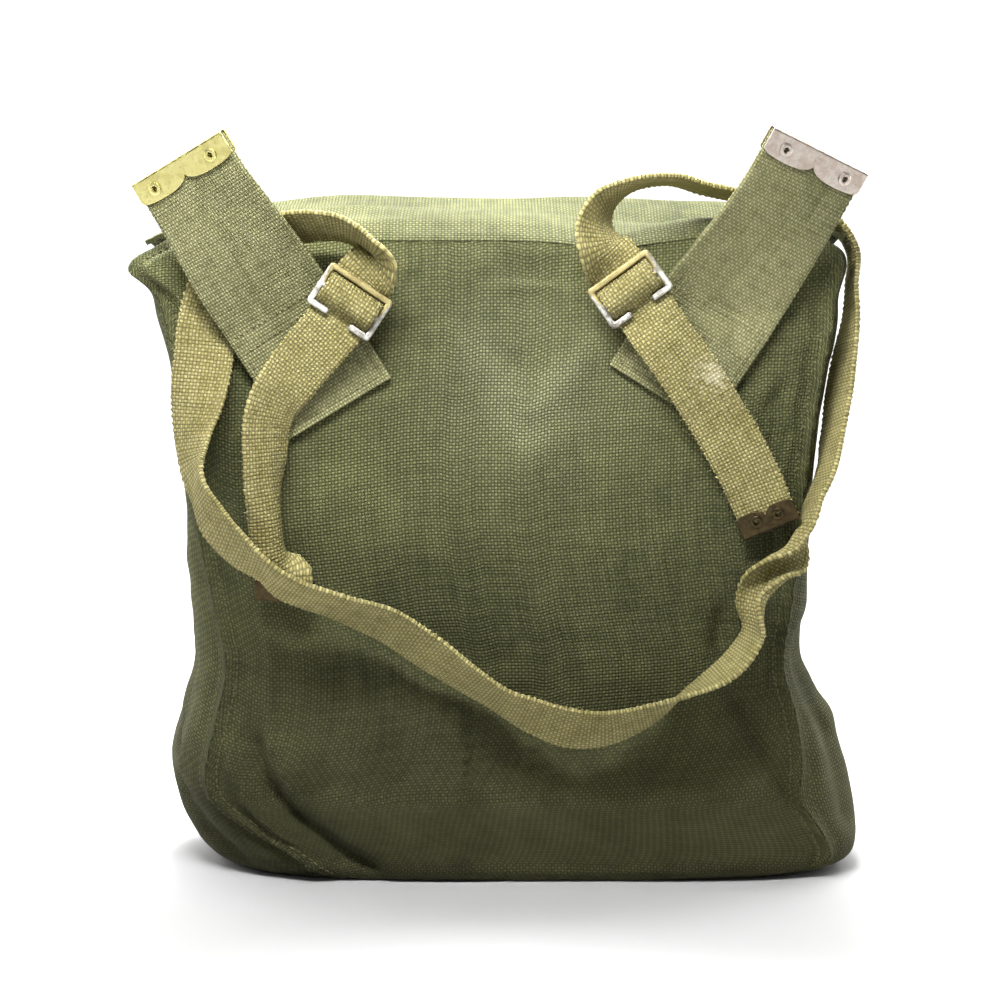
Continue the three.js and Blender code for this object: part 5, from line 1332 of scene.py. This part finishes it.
for side, sign in (("left", -1), ("right", 1)):
    up = np.array([closing["buckleUp"]])
    at = aroundAt(np.array([sign * bag["closingSpacing"] / 2]), up, 1)
    normal = wallNormal(at, up)[0]
    across = -unit(np.cross(np.cross((-1.0, 0, 0), normal), normal))
    rise = unit(np.cross(normal, across))
    place = wall(at, up, layer + bag["softGap"])[0] + normal * bag["buckleThick"] / 2
    inside = buckleReach - bag["wire"]
    sizes = ((buckleOuter, buckleReach), (buckleInner, inside))
    box = [[(-x, -y), (x, -y), (x, y), (-x, y)] for x, y in sizes]
    form = plate(box, bag["buckleThick"], metalEdge["closingBuckle"])
    buckle = joined(f"closing_buckle_{side}_metal", [form], matrixOf(across, rise, normal, place),
                    buckleMetal)
    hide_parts(f"closing_buckle_{side}")
print("metal made")

# stitches beside the seams of the body, inset from each panel's edge
seamLine = dict(back_panel=4.6, front_panel=4.6, gusset_left=5.2, gusset_right=5.2)
seamPitch = dict(pitch=3.1, skip=0.02)
seamStitches = []
for name, inset in seamLine.items():
    grid, uv = panelGrids[name]
    normals = gridNormals(grid)
    for side in (0, -1):
        path = []
        for i in range(2, len(grid) - 1):
            edge = uv[i, side, 0] + (inset if side == 0 else -inset)
            place = np.array([np.interp(edge, uv[i, :, 0], grid[i, :, m]) for m in range(3)])
            turned = np.array([np.interp(edge, uv[i, :, 0], normals[i, :, m]) for m in range(3)])
            path.append((place, unit(turned)))
        seamStitches += stitchRow(path, **seamPitch)
stitchPiece("seam_stitches", seamStitches, greenThread)

# a sewn box on each tab, with slanting rows across it
tabBox = dict(inset=3.2, low=3.4, high=49.0, radius=0.32, left=[(41.0, 43.0)],
              right=[(30.0, 33.0), (43.0, 45.0)])
tabPitch = dict(pitch=2.9, skip=0.02)
tabStitches = []
for side in ("left", "right"):
    surface, normals, uv = tabs[side]
    edge, low, high = bag["tabWidth"] / 2 - tabBox["inset"], tabBox["low"], tabBox["high"]
    runs = [[(-edge, low), (edge, low)], [(-edge, low), (-edge, high)], [(edge, low), (edge, high)],
            [(-edge, high), (edge, high)]]
    runs += [[(-edge, start), (edge, end)] for start, end in tabBox[side]]
    for a, b in runs:
        path = [spotOn(surface, normals, uv, a[0] + (b[0] - a[0]) * t, a[1] + (b[1] - a[1]) * t)
                for t in np.linspace(0, 1, 40)]
        tabStitches += stitchRow(path, **tabPitch)
stitchPiece("tab_stitches", tabStitches, tabThread, tabBox["radius"])
print("stitches made", len(seamStitches), len(tabStitches))

# loose fibres on the selvedges
fibreLook = dict(reach=(0.8, 3.2), thin=0.05)
fibreCount = 900
fibreStarts = []
for k in range(fibreCount):
    i = dice.randrange(4, len(strapMiddle) - 4)
    j = dice.choice((0, len(strapMiddle[0]) - 1))
    out = unit(strapMiddle[i, j] - strapMiddle[i, strapLine["columns"] // 2])
    fibreStarts.append((strapMiddle[i, j], unit(out + strapNormals[i, j] * dice.uniform(-0.8, 0.8))))
fibres("strap_fibres", fibreStarts, paleThread, "strap_webbing", **fibreLook)

# floor, backdrop and lamps: name, place, aim, width, height and power
lights = dict(world=0.10, floor=(0.42, 0.42, 0.42), backdrop=1.25, lamps=[
    ("top softbox", (0.0, 0.25, 0.92), (0, 0.0, 0.2), 0.36, 0.3, 23.0),
    ("upper front", (-0.10, -0.36, 0.62), (0, 0.02, 0.22), 0.36, 0.10, 6.6),
    ("front fill", (0.0, -1.8, 0.8), (0, 0, 0.15), 1.0, 0.7, 1.3),
    ("left strip", (-0.75, 0.25, 0.35), (0, 0, 0.15), 0.25, 0.8, 4.0),
    ("right strip", (0.75, 0.25, 0.35), (0, 0, 0.15), 0.25, 0.8, 4.0),
    ("floor wash", (0.0, -1.0, 2.4), (0, -1.0, 0), 2.4, 0.8, 7.0),
    ("far wash", (0.0, 1.55, 1.8), (0, 1.5, 0), 4.0, 1.4, 170.0),
])


def stageLights():
    floor = bpy.data.meshes.new("floor")
    floor.from_pydata([(-6, -6, 0), (6, -6, 0), (6, 6, 0), (-6, 6, 0)], [], [(0, 1, 2, 3)])
    ground = bpy.data.objects.new("floor", floor)
    ground.location.z = -0.0005
    bpy.context.scene.collection.objects.link(ground)
    f = Finish("pale floor")
    floor.materials.append(f.set(Base_Color=lights["floor"], Roughness=0.9))
    backdrop = bpy.data.meshes.new("backdrop")
    backdrop.from_pydata([(-4, 1.9, -1), (4, 1.9, -1), (4, 1.9, 4), (-4, 1.9, 4)], [], [(0, 1, 2, 3)])
    screen = bpy.data.objects.new("backdrop", backdrop)
    bpy.context.scene.collection.objects.link(screen)
    glow = Finish("white backdrop")
    backdrop.materials.append(glow.set(Base_Color=(0, 0, 0), Emission_Color=(1, 1, 1),
                                       Emission_Strength=lights["backdrop"]))
    world = bpy.data.worlds.new("studio")
    bpy.context.scene.world = world
    world.use_nodes = True
    sky = world.node_tree.nodes["Background"]
    sky.inputs["Color"].default_value = (1, 1, 1, 1)
    sky.inputs["Strength"].default_value = lights["world"]
    for name, place, aim, wide, tall, power in lights["lamps"]:
        lamp = bpy.data.lights.new(name, "AREA")
        lamp.shape, lamp.size, lamp.size_y, lamp.energy = "RECTANGLE", wide, tall, power
        thing = bpy.data.objects.new(name, lamp)
        thing.location = place
        thing.rotation_euler = (Vector(aim) - Vector(place)).to_track_quat("-Z", "Y").to_euler()
        bpy.context.scene.collection.objects.link(thing)


stageLights()
bpy.context.scene.view_settings.view_transform = "Standard"
